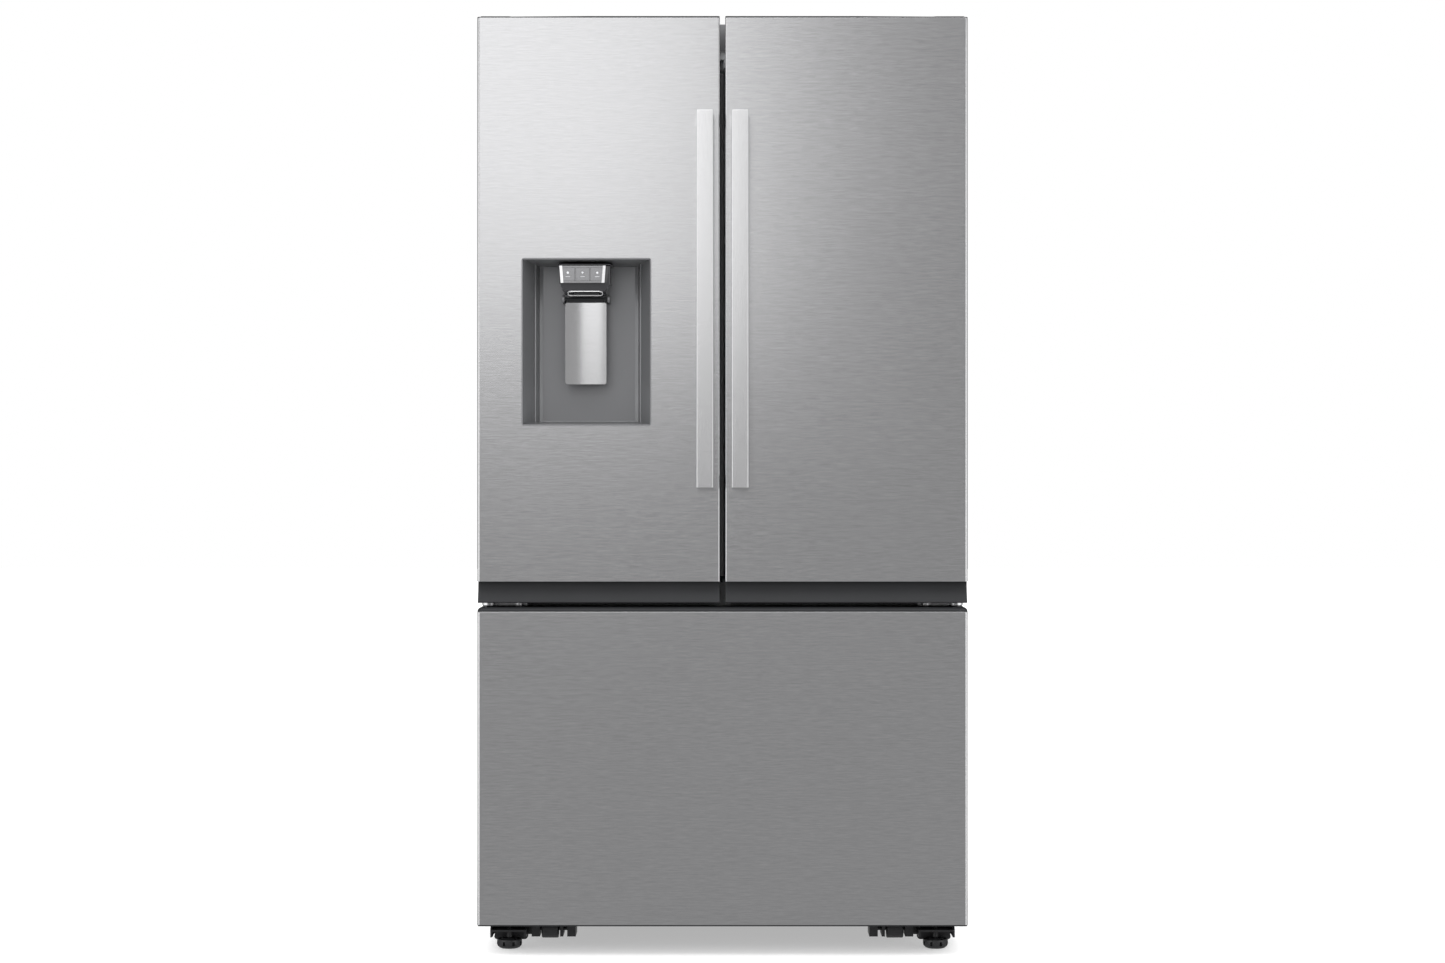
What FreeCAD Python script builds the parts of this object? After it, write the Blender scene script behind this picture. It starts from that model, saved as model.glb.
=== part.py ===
import FreeCAD, Part
import math
import os

# French door refrigerator: cabinet, two upper doors with a water and ice dispenser in the left one,
# a freezer drawer below, and what it needs inside to work.
# Millimetres. +Z up, the front faces -Y, origin on the floor under the middle of the object.

V = FreeCAD.Vector
X_AXIS = V(1, 0, 0)
Y_AXIS = V(0, 1, 0)
Z_AXIS = V(0, 0, 1)

# Driving dimensions: fronts
WIDTH = 908.0
DOOR_TOP = 1741.0
DOOR_STEEL_TOP = 1738.6
DOOR_STEEL_BOTTOM = 695.0
DOOR_BOTTOM = 655.0
DRAWER_TOP = 647.0
DRAWER_STEEL_TOP = 639.0
DRAWER_STEEL_BOTTOM = 59.5
DRAWER_BOTTOM = 57.0
CENTRE_GAP = 10.0
FRONT_Y = -409.5
DOOR_DEPTH = 95.0
GASKET_DEPTH = 13.0
BACK_Y = 463.5
OUTER_EDGE_R = 5.5
INNER_EDGE_R = 3.0
SKIN = 1.2

# Driving dimensions: cabinet
CABINET_HALF = 452.0
CABINET_TOP = 1742.0
CABINET_BOTTOM = 60.0
SHEET = 1.0
LINER = 2.0
WALL_INNER = 402.0
FREEZER_FLOOR = 112.0
FREEZER_CEILING = 615.0
FRIDGE_FLOOR = 690.0
FRIDGE_CEILING = 1690.0
FRIDGE_BACK_Y = 400.0
FREEZER_BACK_Y = 222.0
MACHINE_TOP = 332.0
MACHINE_FRONT_Y = 262.0

# Driving dimensions: joints
DOOR_AXIS_X = 440.0
DOOR_AXIS_Y = -335.0
HINGE_PIN_R = 6.0
SMALL_PIN_R = 3.0
RUNNING = 0.05

# Driving dimensions: inside the fridge
SHELF_HALF = 392.0
SHELF_FRONT_Y = -170.0
SHELF_BACK_Y = 380.0
SHELF_LEVELS = (1190.0, 1420.0)
SHELF_THICK = 14.0
CRISPER_TOP = 912.0
CRISPER_FRONT_Y = -180.0
CRISPER_BACK_Y = 330.0
CRISPER_FLOOR = 704.0
CRISPER_RIM = 898.0
GLASS = 4.0

# Planes worked out from the above
HALF = WIDTH / 2
DOOR_BACK_Y = FRONT_Y + DOOR_DEPTH
CABINET_FRONT_Y = DOOR_BACK_Y + GASKET_DEPTH
LINER_FACE_Y = DOOR_BACK_Y - LINER
WALL_OUTER = WALL_INNER + LINER
SHEET_INNER = CABINET_HALF - SHEET

parts = {}


def box(x0, x1, y0, y1, z0, z1):
    """Box between two values along each axis, given in any order."""
    low = V(min(x0, x1), min(y0, y1), min(z0, z1))
    return Part.makeBox(abs(x1 - x0), abs(y1 - y0), abs(z1 - z0), low)


def rod(radius, start, axis, length):
    """Round bar from a point along an axis."""
    return Part.makeCylinder(radius, length, V(*start), axis)


def prism(points, direction):
    """Solid swept from a flat closed outline of corner points."""
    corners = [V(*p) for p in points]
    wire = Part.makePolygon(corners + corners[:1])
    return Part.Face(wire).extrude(direction)


def fuse(shapes):
    """One solid from touching shapes."""
    whole = shapes[0].fuse(shapes[1:]) if len(shapes) > 1 else shapes[0]
    return whole.removeSplitter()


def flip(shape):
    """Mirror image on the other side of the middle plane."""
    return shape.mirror(V(0, 0, 0), X_AXIS)


def sided(shape, side):
    """Shape drawn for the right side, put on the right (+1) or the left (-1)."""
    return shape if side > 0 else flip(shape)


def round_edges(shape, radius, chosen):
    """Fillet the edges that the test function picks."""
    edges = [e for e in shape.Edges if chosen(e)]
    return shape.makeFillet(radius, edges)


def is_along(edge, axis):
    """True for a straight edge that runs along an axis."""
    ends = edge.Vertexes
    if len(ends) < 2 or not isinstance(edge.Curve, (Part.Line, Part.LineSegment)):
        return False
    run = ends[1].Point.sub(ends[0].Point)
    return run.cross(axis).Length < 1e-6 * max(run.Length, 1e-9) + 1e-9


def rounded_block(x0, x1, y0, y1, z0, z1, radius, axis):
    """Box whose edges along one axis are rounded."""
    return round_edges(box(x0, x1, y0, y1, z0, z1), radius, lambda e: is_along(e, axis))


def frame_of(x0, x1, z0, z1, band, y0, y1):
    """Flat rectangular frame standing in the XZ plane."""
    outer = box(x0, x1, y0, y1, z0, z1)
    inner = box(x0 + band, x1 - band, y0 - 1, y1 + 1, z0 + band, z1 - band)
    return outer.cut(inner)


def tray(x0, x1, y0, y1, z0, z1, wall):
    """Open-topped box."""
    outer = rounded_block(x0, x1, y0, y1, z0, z1, 8.0, Z_AXIS)
    inner = rounded_block(x0 + wall, x1 - wall, y0 + wall, y1 - wall, z0 + wall, z1 + 1, 6.0, Z_AXIS)
    return outer.cut(inner)


def keep(name, shapes):
    """Store one sub-part, a solid or a group of like solids."""
    parts[name] = shapes[0] if len(shapes) == 1 else Part.makeCompound(shapes)


# ---------------------------------------------------------------- cabinet shell

RAIL_THICK = 3.5
LEDGE_REACH = 18.0
LEDGE_THICK = 11.0
LEDGE_START_Y = -140.0
RUNNER_X = (24.0, 364.0)
RUNNER_WIDTH = 10.0
RUNNER_CLEAR = 0.5


def cabinet_wrapper():
    """Folded sheet: two sides, the top, and the front flange that the gaskets close on."""
    flange_back = CABINET_FRONT_Y + SHEET
    top_inner = CABINET_TOP - SHEET
    back = BACK_Y - SHEET
    shapes = [box(-CABINET_HALF, CABINET_HALF, CABINET_FRONT_Y, back, top_inner, CABINET_TOP)]
    for side in (-1, 1):
        shapes.append(box(side * SHEET_INNER, side * CABINET_HALF, CABINET_FRONT_Y, back,
                          CABINET_BOTTOM, CABINET_TOP))
        shapes.append(box(side * WALL_OUTER, side * CABINET_HALF, CABINET_FRONT_Y, flange_back,
                          CABINET_BOTTOM, CABINET_TOP))
    shapes.append(box(-WALL_OUTER, WALL_OUTER, CABINET_FRONT_Y, flange_back,
                      FRIDGE_CEILING + LINER, CABINET_TOP))
    shapes.append(box(-WALL_OUTER, WALL_OUTER, CABINET_FRONT_Y, flange_back,
                      CABINET_BOTTOM, FREEZER_FLOOR - LINER))
    return fuse(shapes)


def cabinet_insulation():
    """Foam of the cabinet as slabs: sides, top, back, middle wall, and round the machine space."""
    front = CABINET_FRONT_Y + SHEET
    back = BACK_Y - SHEET
    top = CABINET_TOP - SHEET
    fridge_back = FRIDGE_BACK_Y + LINER
    freezer_back = FREEZER_BACK_Y + LINER
    rail_back = CABINET_FRONT_Y + RAIL_THICK
    slabs = [box(side * WALL_OUTER, side * SHEET_INNER, front, back, CABINET_BOTTOM, top)
             for side in (-1, 1)]
    inner = (-WALL_OUTER, WALL_OUTER)
    slabs.append(box(*inner, front, back, FRIDGE_CEILING + LINER, top))
    slabs.append(box(*inner, fridge_back, back, FRIDGE_FLOOR - LINER, FRIDGE_CEILING + LINER))
    slabs.append(box(*inner, rail_back, back, FREEZER_CEILING + LINER, FRIDGE_FLOOR - LINER))
    slabs.append(box(*inner, freezer_back, back, MACHINE_TOP, FREEZER_CEILING + LINER))
    slabs.append(box(*inner, front, freezer_back, CABINET_BOTTOM, FREEZER_FLOOR - LINER))
    slabs.append(box(*inner, freezer_back, MACHINE_FRONT_Y, CABINET_BOTTOM, MACHINE_TOP))
    return slabs


def liner(floor, ceiling, back_y):
    """Moulded inner box, open to the front."""
    front = CABINET_FRONT_Y + RAIL_THICK
    outer = box(-WALL_OUTER, WALL_OUTER, front, back_y + LINER, floor - LINER, ceiling + LINER)
    inner = box(-WALL_INNER, WALL_INNER, front - 1, back_y, floor, ceiling)
    return outer.cut(inner)


def fridge_liner():
    """Liner with ledges that carry the shelves and floor ribs that the crispers slide on."""
    shapes = [liner(FRIDGE_FLOOR, FRIDGE_CEILING, FRIDGE_BACK_Y)]
    for level in SHELF_LEVELS + (CRISPER_TOP,):
        low = level - LEDGE_THICK
        shapes.append(box(-WALL_INNER, WALL_INNER, SHELF_BACK_Y - 10, FRIDGE_BACK_Y, low, level))
        for side in (-1, 1):
            shapes.append(box(side * (WALL_INNER - LEDGE_REACH), side * WALL_INNER, LEDGE_START_Y,
                              FRIDGE_BACK_Y, low, level))
    for side in (-1, 1):
        for x in RUNNER_X:
            shapes.append(box(side * x, side * (x + RUNNER_WIDTH), CRISPER_FRONT_Y, CRISPER_BACK_Y,
                              FRIDGE_FLOOR, CRISPER_FLOOR - 2 - RUNNER_CLEAR))
    return fuse(shapes)


keep("cabinet_wrapper", [cabinet_wrapper()])
keep("cabinet_insulation", cabinet_insulation())
keep("fridge_liner", [fridge_liner()])
keep("freezer_liner", [liner(FREEZER_FLOOR, FREEZER_CEILING, FREEZER_BACK_Y)])
keep("back_panel", [box(-CABINET_HALF, CABINET_HALF, BACK_Y - SHEET, BACK_Y, MACHINE_TOP, CABINET_TOP)])
keep("cross_rail", [box(-WALL_OUTER, WALL_OUTER, CABINET_FRONT_Y, CABINET_FRONT_Y + RAIL_THICK,
                        FREEZER_CEILING, FRIDGE_FLOOR)])


BASE_SHEET = 2.0
PLATE_LOW = CABINET_BOTTOM - BASE_SHEET
PAN_LOW = CABINET_BOTTOM - 15
PAN_TOP = PAN_LOW + BASE_SHEET
BEAM_X = 405.0
BEAM_START_Y = CABINET_FRONT_Y + 46
SLOT_LENGTH = 64.0
SLOT_HEIGHT = 8.0
SLOT_PITCH = (84.0, 24.0)
SLOT_LOW = 110.0
VALVE_X = -380.0
VALVE_Z = 80.0
VALVE_BODY_Y = (400.0, 440.0)
VALVE_STUB_R = 5.5


def base_frame():
    """Steel base: plate under the freezer, two side beams, and the pan of the machine space."""
    back = BACK_Y - 2 * SHEET
    shapes = [box(-SHEET_INNER, SHEET_INNER, CABINET_FRONT_Y + BASE_SHEET, MACHINE_FRONT_Y, PLATE_LOW,
                  CABINET_BOTTOM)]
    shapes.append(box(-SHEET_INNER, SHEET_INNER, MACHINE_FRONT_Y - BASE_SHEET, back, PAN_LOW, PAN_TOP))
    shapes.append(box(-SHEET_INNER, SHEET_INNER, MACHINE_FRONT_Y - BASE_SHEET, MACHINE_FRONT_Y, PAN_LOW,
                      CABINET_BOTTOM))
    for side in (-1, 1):
        shapes.append(box(side * BEAM_X, side * SHEET_INNER, BEAM_START_Y, back, PAN_LOW, PLATE_LOW))
    return fuse(shapes)


keep("base_frame", [base_frame()])


def machine_cover():
    """Rear lower cover with rows of cooling slots and a hole for the water valve."""
    cover = box(-CABINET_HALF, CABINET_HALF, BACK_Y - SHEET, BACK_Y, PAN_TOP, MACHINE_TOP - 1)
    slots = []
    for column in range(-4, 5):
        for row in range(6):
            x = column * SLOT_PITCH[0] - SLOT_LENGTH / 2
            z = SLOT_LOW + row * SLOT_PITCH[1]
            slots.append(box(x, x + SLOT_LENGTH, BACK_Y - 3, BACK_Y + 1, z, z + SLOT_HEIGHT))
    slots.append(rod(VALVE_STUB_R + 1.5, (VALVE_X, BACK_Y - 3, VALVE_Z), Y_AXIS, 5))
    return cover.cut(slots)


keep("machine_cover", [machine_cover()])


def water_valve():
    """Inlet valve on the pan: body with a coil on top and a stub through the rear cover."""
    front, back = VALVE_BODY_Y
    body = rounded_block(VALVE_X - 20, VALVE_X + 20, front, back, VALVE_Z - 15, VALVE_Z + 15, 3, Z_AXIS)
    foot = box(VALVE_X - 18, VALVE_X + 18, front + 4, back - 4, PAN_TOP, VALVE_Z - 14)
    coil = rod(14, (VALVE_X, (front + back) / 2, VALVE_Z + 14), Z_AXIS, 32)
    stub = rod(VALVE_STUB_R, (VALVE_X, back - 1, VALVE_Z), Y_AXIS, BACK_Y - back + 1)
    return fuse([body, foot, coil, stub])


keep("water_valve", [water_valve()])

# ---------------------------------------------------------------- machinery

COMPRESSOR_X = 180.0
COMPRESSOR_Y = 365.0
COMPRESSOR_R = 72.0
CONDENSER_X = -250.0
CONDENSER_Y = (300.0, 440.0)
CONDENSER_TOP = 220.0
CONDENSER_FIN_PITCH = 16.0
CONDENSER_FAN = (-10.0, 370.0, 140.0)
EVAPORATOR_FAN = (0.0, 186.0, 520.0)
FAN_DEPTH = 20.0
FAN_HUB_R = 15.0
FAN_CLEAR = 1.0
MOTOR_R = 14.0
MOTOR_LENGTH = 14.0
EVAPORATOR_X = -240.0
EVAPORATOR_Y = (166.0, 214.0)
EVAPORATOR_Z = (200.0, 420.0)
EVAPORATOR_FIN_PITCH = 24.0
EVAPORATOR_COVER_Y = (148.0, 152.0)


def compressor():
    """Welded steel shell on a mounting plate with four rubber feet."""
    shell = rod(COMPRESSOR_R, (COMPRESSOR_X, COMPRESSOR_Y, 72), Z_AXIS, 120)
    shell = shell.makeFillet(34, [e for e in shell.Edges if abs(e.BoundBox.ZLength) < 0.1])
    plate = box(COMPRESSOR_X - 105, COMPRESSOR_X + 105, COMPRESSOR_Y - 60, COMPRESSOR_Y + 60, 67, 73)
    feet = [rod(11, (COMPRESSOR_X + dx, COMPRESSOR_Y + dy, PAN_TOP), Z_AXIS, 20.5)
            for dx in (-88, 88) for dy in (-45, 45)]
    neck = box(COMPRESSOR_X - 14, COMPRESSOR_X + 14, COMPRESSOR_Y - 14, COMPRESSOR_Y + 14, 185, 200)
    return fuse([shell, plate, neck] + feet)


def condenser():
    """Finned coil block on a foot: rows of fins on three tubes, open for the air between."""
    front, back = CONDENSER_Y
    width = 10 * CONDENSER_FIN_PITCH + 2
    shapes = [box(CONDENSER_X - 4, CONDENSER_X + width + 4, front, back, PAN_TOP, 60)]
    for i in range(11):
        x = CONDENSER_X + i * CONDENSER_FIN_PITCH
        shapes.append(box(x, x + 2, front, back, 60, CONDENSER_TOP))
    for z in (90, 140, 190):
        shapes.append(rod(5, (CONDENSER_X, (front + back) / 2, z), X_AXIS, width))
    return fuse(shapes)


def fan(centre, radius):
    """Axial fan that turns about Y: a bored hub with five pitched blades."""
    x, y, z = centre
    shapes = [rod(FAN_HUB_R, (x, y - FAN_DEPTH / 2, z), Y_AXIS, FAN_DEPTH)]
    for i in range(5):
        blade = box(x - 15, x + 15, y - 1.2, y + 1.2, z + FAN_HUB_R - 3, z + radius)
        blade.rotate(V(x, y, z), Z_AXIS, 28)
        blade.rotate(V(x, y, z), Y_AXIS, 72.0 * i)
        shapes.append(blade)
    bore = rod(SMALL_PIN_R + RUNNING, (x, y - FAN_DEPTH, z), Y_AXIS, 2 * FAN_DEPTH)
    return fuse(shapes).cut(bore)


def fan_motor(centre):
    """Small motor behind a fan, with the shaft that the fan's hub is on."""
    x, y, z = centre
    face = y + FAN_DEPTH / 2 + FAN_CLEAR
    can = rod(MOTOR_R, (x, face, z), Y_AXIS, MOTOR_LENGTH)
    shaft = rod(SMALL_PIN_R, (x, y - FAN_DEPTH / 2 + 2, z), Y_AXIS, FAN_DEPTH + FAN_CLEAR)
    return fuse([can, shaft])


def condenser_motor():
    """The condenser fan's motor on a post from the pan."""
    x, y, z = CONDENSER_FAN
    back = y + FAN_DEPTH / 2 + FAN_CLEAR + MOTOR_LENGTH
    post = box(x - 12, x + 12, back - 4, back, PAN_TOP, z)
    return fuse([fan_motor(CONDENSER_FAN), post])


def evaporator():
    """Finned coil behind the rear panel of the freezer, its tubes held in the side fins."""
    front, back = EVAPORATOR_Y
    shapes = []
    for i in range(21):
        x = EVAPORATOR_X + i * EVAPORATOR_FIN_PITCH
        shapes.append(box(x, x + 1.5, front, back, *EVAPORATOR_Z))
    for z in (230, 290, 350, 400):
        shapes.append(rod(4, (EVAPORATOR_X, (front + back) / 2, z), X_AXIS, 20 * EVAPORATOR_FIN_PITCH + 1.5))
    for x in (EVAPORATOR_X + 1.5, -EVAPORATOR_X - 10):
        shapes.append(box(x, x + 10, EVAPORATOR_COVER_Y[1], front + 1, 300, 320))
    return fuse(shapes)


def evaporator_cover():
    """Rear panel of the freezer: air grille before the fan, whose motor it carries on a bridge."""
    front, back = EVAPORATOR_COVER_Y
    panel = box(-WALL_INNER + 0.5, WALL_INNER - 0.5, front, back, FREEZER_FLOOR + 1, FREEZER_CEILING - 1)
    slots = [box(-70, 70, front - 1, back + 1, z, z + 7) for z in range(480, 570, 16)]
    slots += [box(-260 + i * 65, -215 + i * 65, front - 1, back + 1, 130, 142) for i in range(8)]
    x, y, z = EVAPORATOR_FAN
    bridge_y = y + FAN_DEPTH / 2 + FAN_CLEAR + MOTOR_LENGTH
    bridge = box(x - 80, x + 80, bridge_y - 3, bridge_y, z - 6, z + 6)
    legs = [box(x + side * 76, x + side * 80, back - 1, bridge_y, z - 6, z + 6) for side in (-1, 1)]
    return fuse([panel.cut(slots), bridge, fan_motor(EVAPORATOR_FAN)] + legs)


keep("compressor", [compressor()])
keep("condenser", [condenser(), condenser_motor()])
keep("condenser_fan", [fan(CONDENSER_FAN, 55)])
keep("evaporator_fan", [fan(EVAPORATOR_FAN, 48)])
keep("evaporator", [evaporator()])
keep("evaporator_cover", [evaporator_cover()])

# ---------------------------------------------------------------- fittings inside the fridge


def shelf_places():
    """Left edge, right edge and height of each glass pane."""
    places = []
    for level in SHELF_LEVELS:
        places.append((-SHELF_HALF, -4.0, level))
        places.append((4.0, SHELF_HALF, level))
    places.append((-SHELF_HALF, SHELF_HALF, CRISPER_TOP))
    return places


def glass_pane(x0, x1, z):
    """Tempered pane that lies in the rebate of its frame."""
    return box(x0 + 6.2, x1 - 6.2, SHELF_FRONT_Y + 10.2, SHELF_BACK_Y - 10.2, z + 6, z + 6 + GLASS)


def shelf_frame(x0, x1, z):
    """Moulded rim round a pane, with a step that the pane lies on."""
    outer = rounded_block(x0, x1, SHELF_FRONT_Y, SHELF_BACK_Y, z, z + SHELF_THICK, 3.0, Z_AXIS)
    seat = box(x0 + 14, x1 - 14, SHELF_FRONT_Y + 18, SHELF_BACK_Y - 18, z - 1, z + 15)
    pane = box(x0 + 6, x1 - 6, SHELF_FRONT_Y + 10, SHELF_BACK_Y - 10, z + 6, z + 15)
    return outer.cut([seat, pane])


keep("glass_shelves", [glass_pane(*place) for place in shelf_places()])
keep("shelf_frames", [shelf_frame(*place) for place in shelf_places()])


def crisper(side):
    """Clear drawer with a grip lip at the top of its front."""
    body = tray(10, 386, CRISPER_FRONT_Y + 6, CRISPER_BACK_Y, CRISPER_FLOOR, CRISPER_RIM, 2.5)
    front = rounded_block(8, 390, CRISPER_FRONT_Y, CRISPER_FRONT_Y + 7, CRISPER_FLOOR - 2, CRISPER_RIM,
                          2.5, Y_AXIS)
    lip = box(120, 278, CRISPER_FRONT_Y - 6, CRISPER_FRONT_Y + 2, CRISPER_RIM - 14, CRISPER_RIM - 8)
    return sided(fuse([body, front, lip]), side)


keep("crisper_left", [crisper(-1)])
keep("crisper_right", [crisper(1)])


def ice_maker():
    """Ice maker head hung from the ceiling at the upper left, with its bucket below."""
    head = rounded_block(-398, -200, -60, 330, 1610, FRIDGE_CEILING, 6, Z_AXIS)
    bucket = rounded_block(-396, -206, -120, 320, 1446, 1606, 10, Y_AXIS)
    link = box(-340, -260, 0, 280, 1600, 1615)
    return fuse([head, bucket, link])


keep("ice_maker", [ice_maker()])

# ---------------------------------------------------------------- hinges of the doors

ARM_THICK = 4.0
MIDDLE_ARM_Z = 649.0


def top_hinge(side):
    """Plate screwed on the cabinet top; its arm carries a pin down into the door."""
    plate = rounded_block(404, 451, -290, -150, CABINET_TOP, CABINET_TOP + ARM_THICK, 6, Z_AXIS)
    arm = box(425, 451, DOOR_AXIS_Y, -280, CABINET_TOP, CABINET_TOP + ARM_THICK)
    eye = rod(12, (DOOR_AXIS_X - 1, DOOR_AXIS_Y, CABINET_TOP), Z_AXIS, ARM_THICK)
    pin = rod(HINGE_PIN_R, (DOOR_AXIS_X, DOOR_AXIS_Y, CABINET_TOP - 18), Z_AXIS, 18 + ARM_THICK)
    screws = [rod(5, (424, y, CABINET_TOP + ARM_THICK - 0.5), Z_AXIS, 3) for y in (-250, -215, -180)]
    return sided(fuse([plate, arm, eye, pin] + screws), side)


def middle_hinge(side):
    """Bracket on the centre rail; its arm reaches out between door and drawer with a pin up."""
    plate = box(368, 451, CABINET_FRONT_Y - 3, CABINET_FRONT_Y, 640, 664)
    arm = box(424, 451, DOOR_AXIS_Y, CABINET_FRONT_Y - 2, MIDDLE_ARM_Z, MIDDLE_ARM_Z + ARM_THICK)
    eye = rod(12, (DOOR_AXIS_X - 1, DOOR_AXIS_Y, MIDDLE_ARM_Z), Z_AXIS, ARM_THICK)
    pin = rod(HINGE_PIN_R, (DOOR_AXIS_X, DOOR_AXIS_Y, MIDDLE_ARM_Z), Z_AXIS, 26)
    stop = box(374, 390, CABINET_FRONT_Y - 14, CABINET_FRONT_Y - 2, 649.5, 653)
    screws = [rod(4, (x, CABINET_FRONT_Y - 5, 645 if x < 400 else 659), Y_AXIS, 3)
              for x in (380, 400, 416)]
    return sided(fuse([plate, arm, eye, pin, stop] + screws), side)


def hinge_cover(side):
    """Moulded cap over a top hinge: a wedge that rises to the back, hollow underneath."""
    low = CABINET_TOP + 0.3
    outline = [(400, -352, low), (400, -352, 1749.5), (400, -300, 1757.5), (400, -235, 1764),
               (400, -175, 1772), (400, -120, 1772), (400, -112, 1762), (400, -112, low)]
    outer = prism(outline, V(51.5, 0, 0))
    inner = box(402, 451.5 - 0.3, -349.5, -114.5, low - 1, CABINET_TOP + 7.2)
    skirt = box(451.2, 453, -352, -349, low, low + 1)
    return sided(outer.cut([inner, skirt]), side)


keep("door_hinges", [top_hinge(-1), top_hinge(1), middle_hinge(-1), middle_hinge(1)])
keep("hinge_covers", [hinge_cover(-1), hinge_cover(1)])

# ---------------------------------------------------------------- undercarriage

FOOT_X = 402.0
FOOT_Y = -296.0
ROLLER_R = 18.0
ROLLER_Z = 34.0
ROLLER_Y = -276.0
REAR_ROLLER_R = 20.0
REAR_ROLLER_Y = 425.0
AXLE_R = 4.0


def levelling_foot(side):
    """Threaded stem with a round slotted disc that stands on the floor."""
    disc = rod(23.7, (FOOT_X, FOOT_Y, 0), Z_AXIS, 20)
    disc = disc.makeFillet(4.0, [e for e in disc.Edges if abs(e.BoundBox.ZLength) < 0.1])
    notches = []
    for i in range(12):
        notch = box(FOOT_X - 2, FOOT_X + 2, FOOT_Y - 30, FOOT_Y - 21.5, 7, 14)
        notch.rotate(V(FOOT_X, FOOT_Y, 0), Z_AXIS, 30.0 * i)
        notches.append(notch)
    stem = rod(6, (FOOT_X, FOOT_Y, 19), Z_AXIS, 33)
    return sided(fuse([disc.cut(notches), stem]), side)


def leg_bracket(side):
    """Pressed channel that holds a foot's stem, and the side plates of a front roller."""
    low = 21.5
    top = CABINET_BOTTOM - 2
    sole = box(372, 432, -330, -262, low + 13, low + 17)
    web = box(368, 436, -262, -258, low, top)
    cheeks = [prism([(x, -330, low + 3), (x, -330, low + 17), (x, -290, top), (x, -258, top),
                     (x, -258, low + 3)], V(4, 0, 0)) for x in (368, 432)]
    bore = rod(6 + RUNNING, (FOOT_X, FOOT_Y, low), Z_AXIS, 30)
    shapes = [sole.cut(bore), web] + cheeks
    shapes.append(box(345, 368, -270, -258, low, top))
    shapes.append(box(277, 293, -300, -240, low, top))
    shapes.append(box(344.5, 360, -300, -240, low, top))
    shapes.append(box(300.5, 306.5, -300, -240, low, top))
    shapes.append(box(277, 306.5, -262, -258, low + 10, top))
    axle_hole = rod(AXLE_R + RUNNING, (270, ROLLER_Y, ROLLER_Z), X_AXIS, 95)
    return sided(fuse(shapes).cut(axle_hole), side)


def front_roller(side):
    """Plastic wheel with its axle between the plates of the leg bracket."""
    wheel = rod(ROLLER_R, (310, ROLLER_Y, ROLLER_Z), X_AXIS, 32)
    wheel = wheel.makeFillet(2.5, [e for e in wheel.Edges if abs(e.BoundBox.XLength) < 0.1])
    axle = rod(AXLE_R, (279, ROLLER_Y, ROLLER_Z), X_AXIS, 80)
    return sided(fuse([wheel, axle]), side)


def rear_roller(side):
    """Wheel under the back corner that carries the cabinet."""
    wheel = rod(REAR_ROLLER_R, (372, REAR_ROLLER_Y, REAR_ROLLER_R), X_AXIS, 30)
    wheel = wheel.makeFillet(2.5, [e for e in wheel.Edges if abs(e.BoundBox.XLength) < 0.1])
    axle = rod(AXLE_R, (362, REAR_ROLLER_Y, REAR_ROLLER_R), X_AXIS, 50)
    return sided(fuse([wheel, axle]), side)


def rear_roller_bracket(side):
    """Two plates hanging from the pan of the machine space, either side of a rear wheel."""
    plates = [box(x, x + 4, REAR_ROLLER_Y - 18, REAR_ROLLER_Y + 18, 10, 45) for x in (364, 406)]
    hole = rod(AXLE_R + RUNNING, (350, REAR_ROLLER_Y, REAR_ROLLER_R), X_AXIS, 80)
    return [sided(plate.cut(hole), side) for plate in plates]


keep("left_foot", [levelling_foot(-1)])
keep("right_foot", [levelling_foot(1)])
keep("leg_brackets", [leg_bracket(-1), leg_bracket(1)] + rear_roller_bracket(-1) + rear_roller_bracket(1))
keep("front_rollers", [front_roller(-1), front_roller(1)])
keep("rear_rollers", [rear_roller(-1), rear_roller(1)])

# ---------------------------------------------------------------- upper doors, drawn for the right one

GAP_X = CENTRE_GAP / 2
REBATE_Y = FRONT_Y + 38
REBATE_X = GAP_X + 7
BORE_R = HINGE_PIN_R + RUNNING
RIDGE_BACK_Y = DOOR_BACK_Y + 52
RIDGE_OUTER = (378.0, 398.0)
RIDGE_INNER = (62.0, 82.0)
RIDGE_Z = (706.0, 1676.0)
SCOOP_TOP = DOOR_STEEL_BOTTOM
TOP_CAP_LOW = 1722.0
CROWN_START_X = 250.0
CROWN_DROP = 1.4
FOAM_LOW = SCOOP_TOP + 20.5
FOAM_HIGH = TOP_CAP_LOW - 0.5
FOAM_CLEAR = 0.2
GASKET_X = (14.0, 434.0)
GASKET_Z = (668.0, 1718.0)
HANDLE_X = 32.3
HANDLE_HALF = 15.2
HANDLE_Z = (868.0, 1562.0)
HANDLE_Y = -463.5
BAR_THICK = 13.0
POST = 24.0
BIN_X = (84.0, 376.0)
BIN_Y = (DOOR_BACK_Y + 0.5, -200.0)
BIN_HEIGHT = 110.0
RIGHT_BIN_LEVELS = (744.0, 1070.0, 1390.0)
LEFT_BIN_LEVELS = (744.0, 1390.0)


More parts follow.
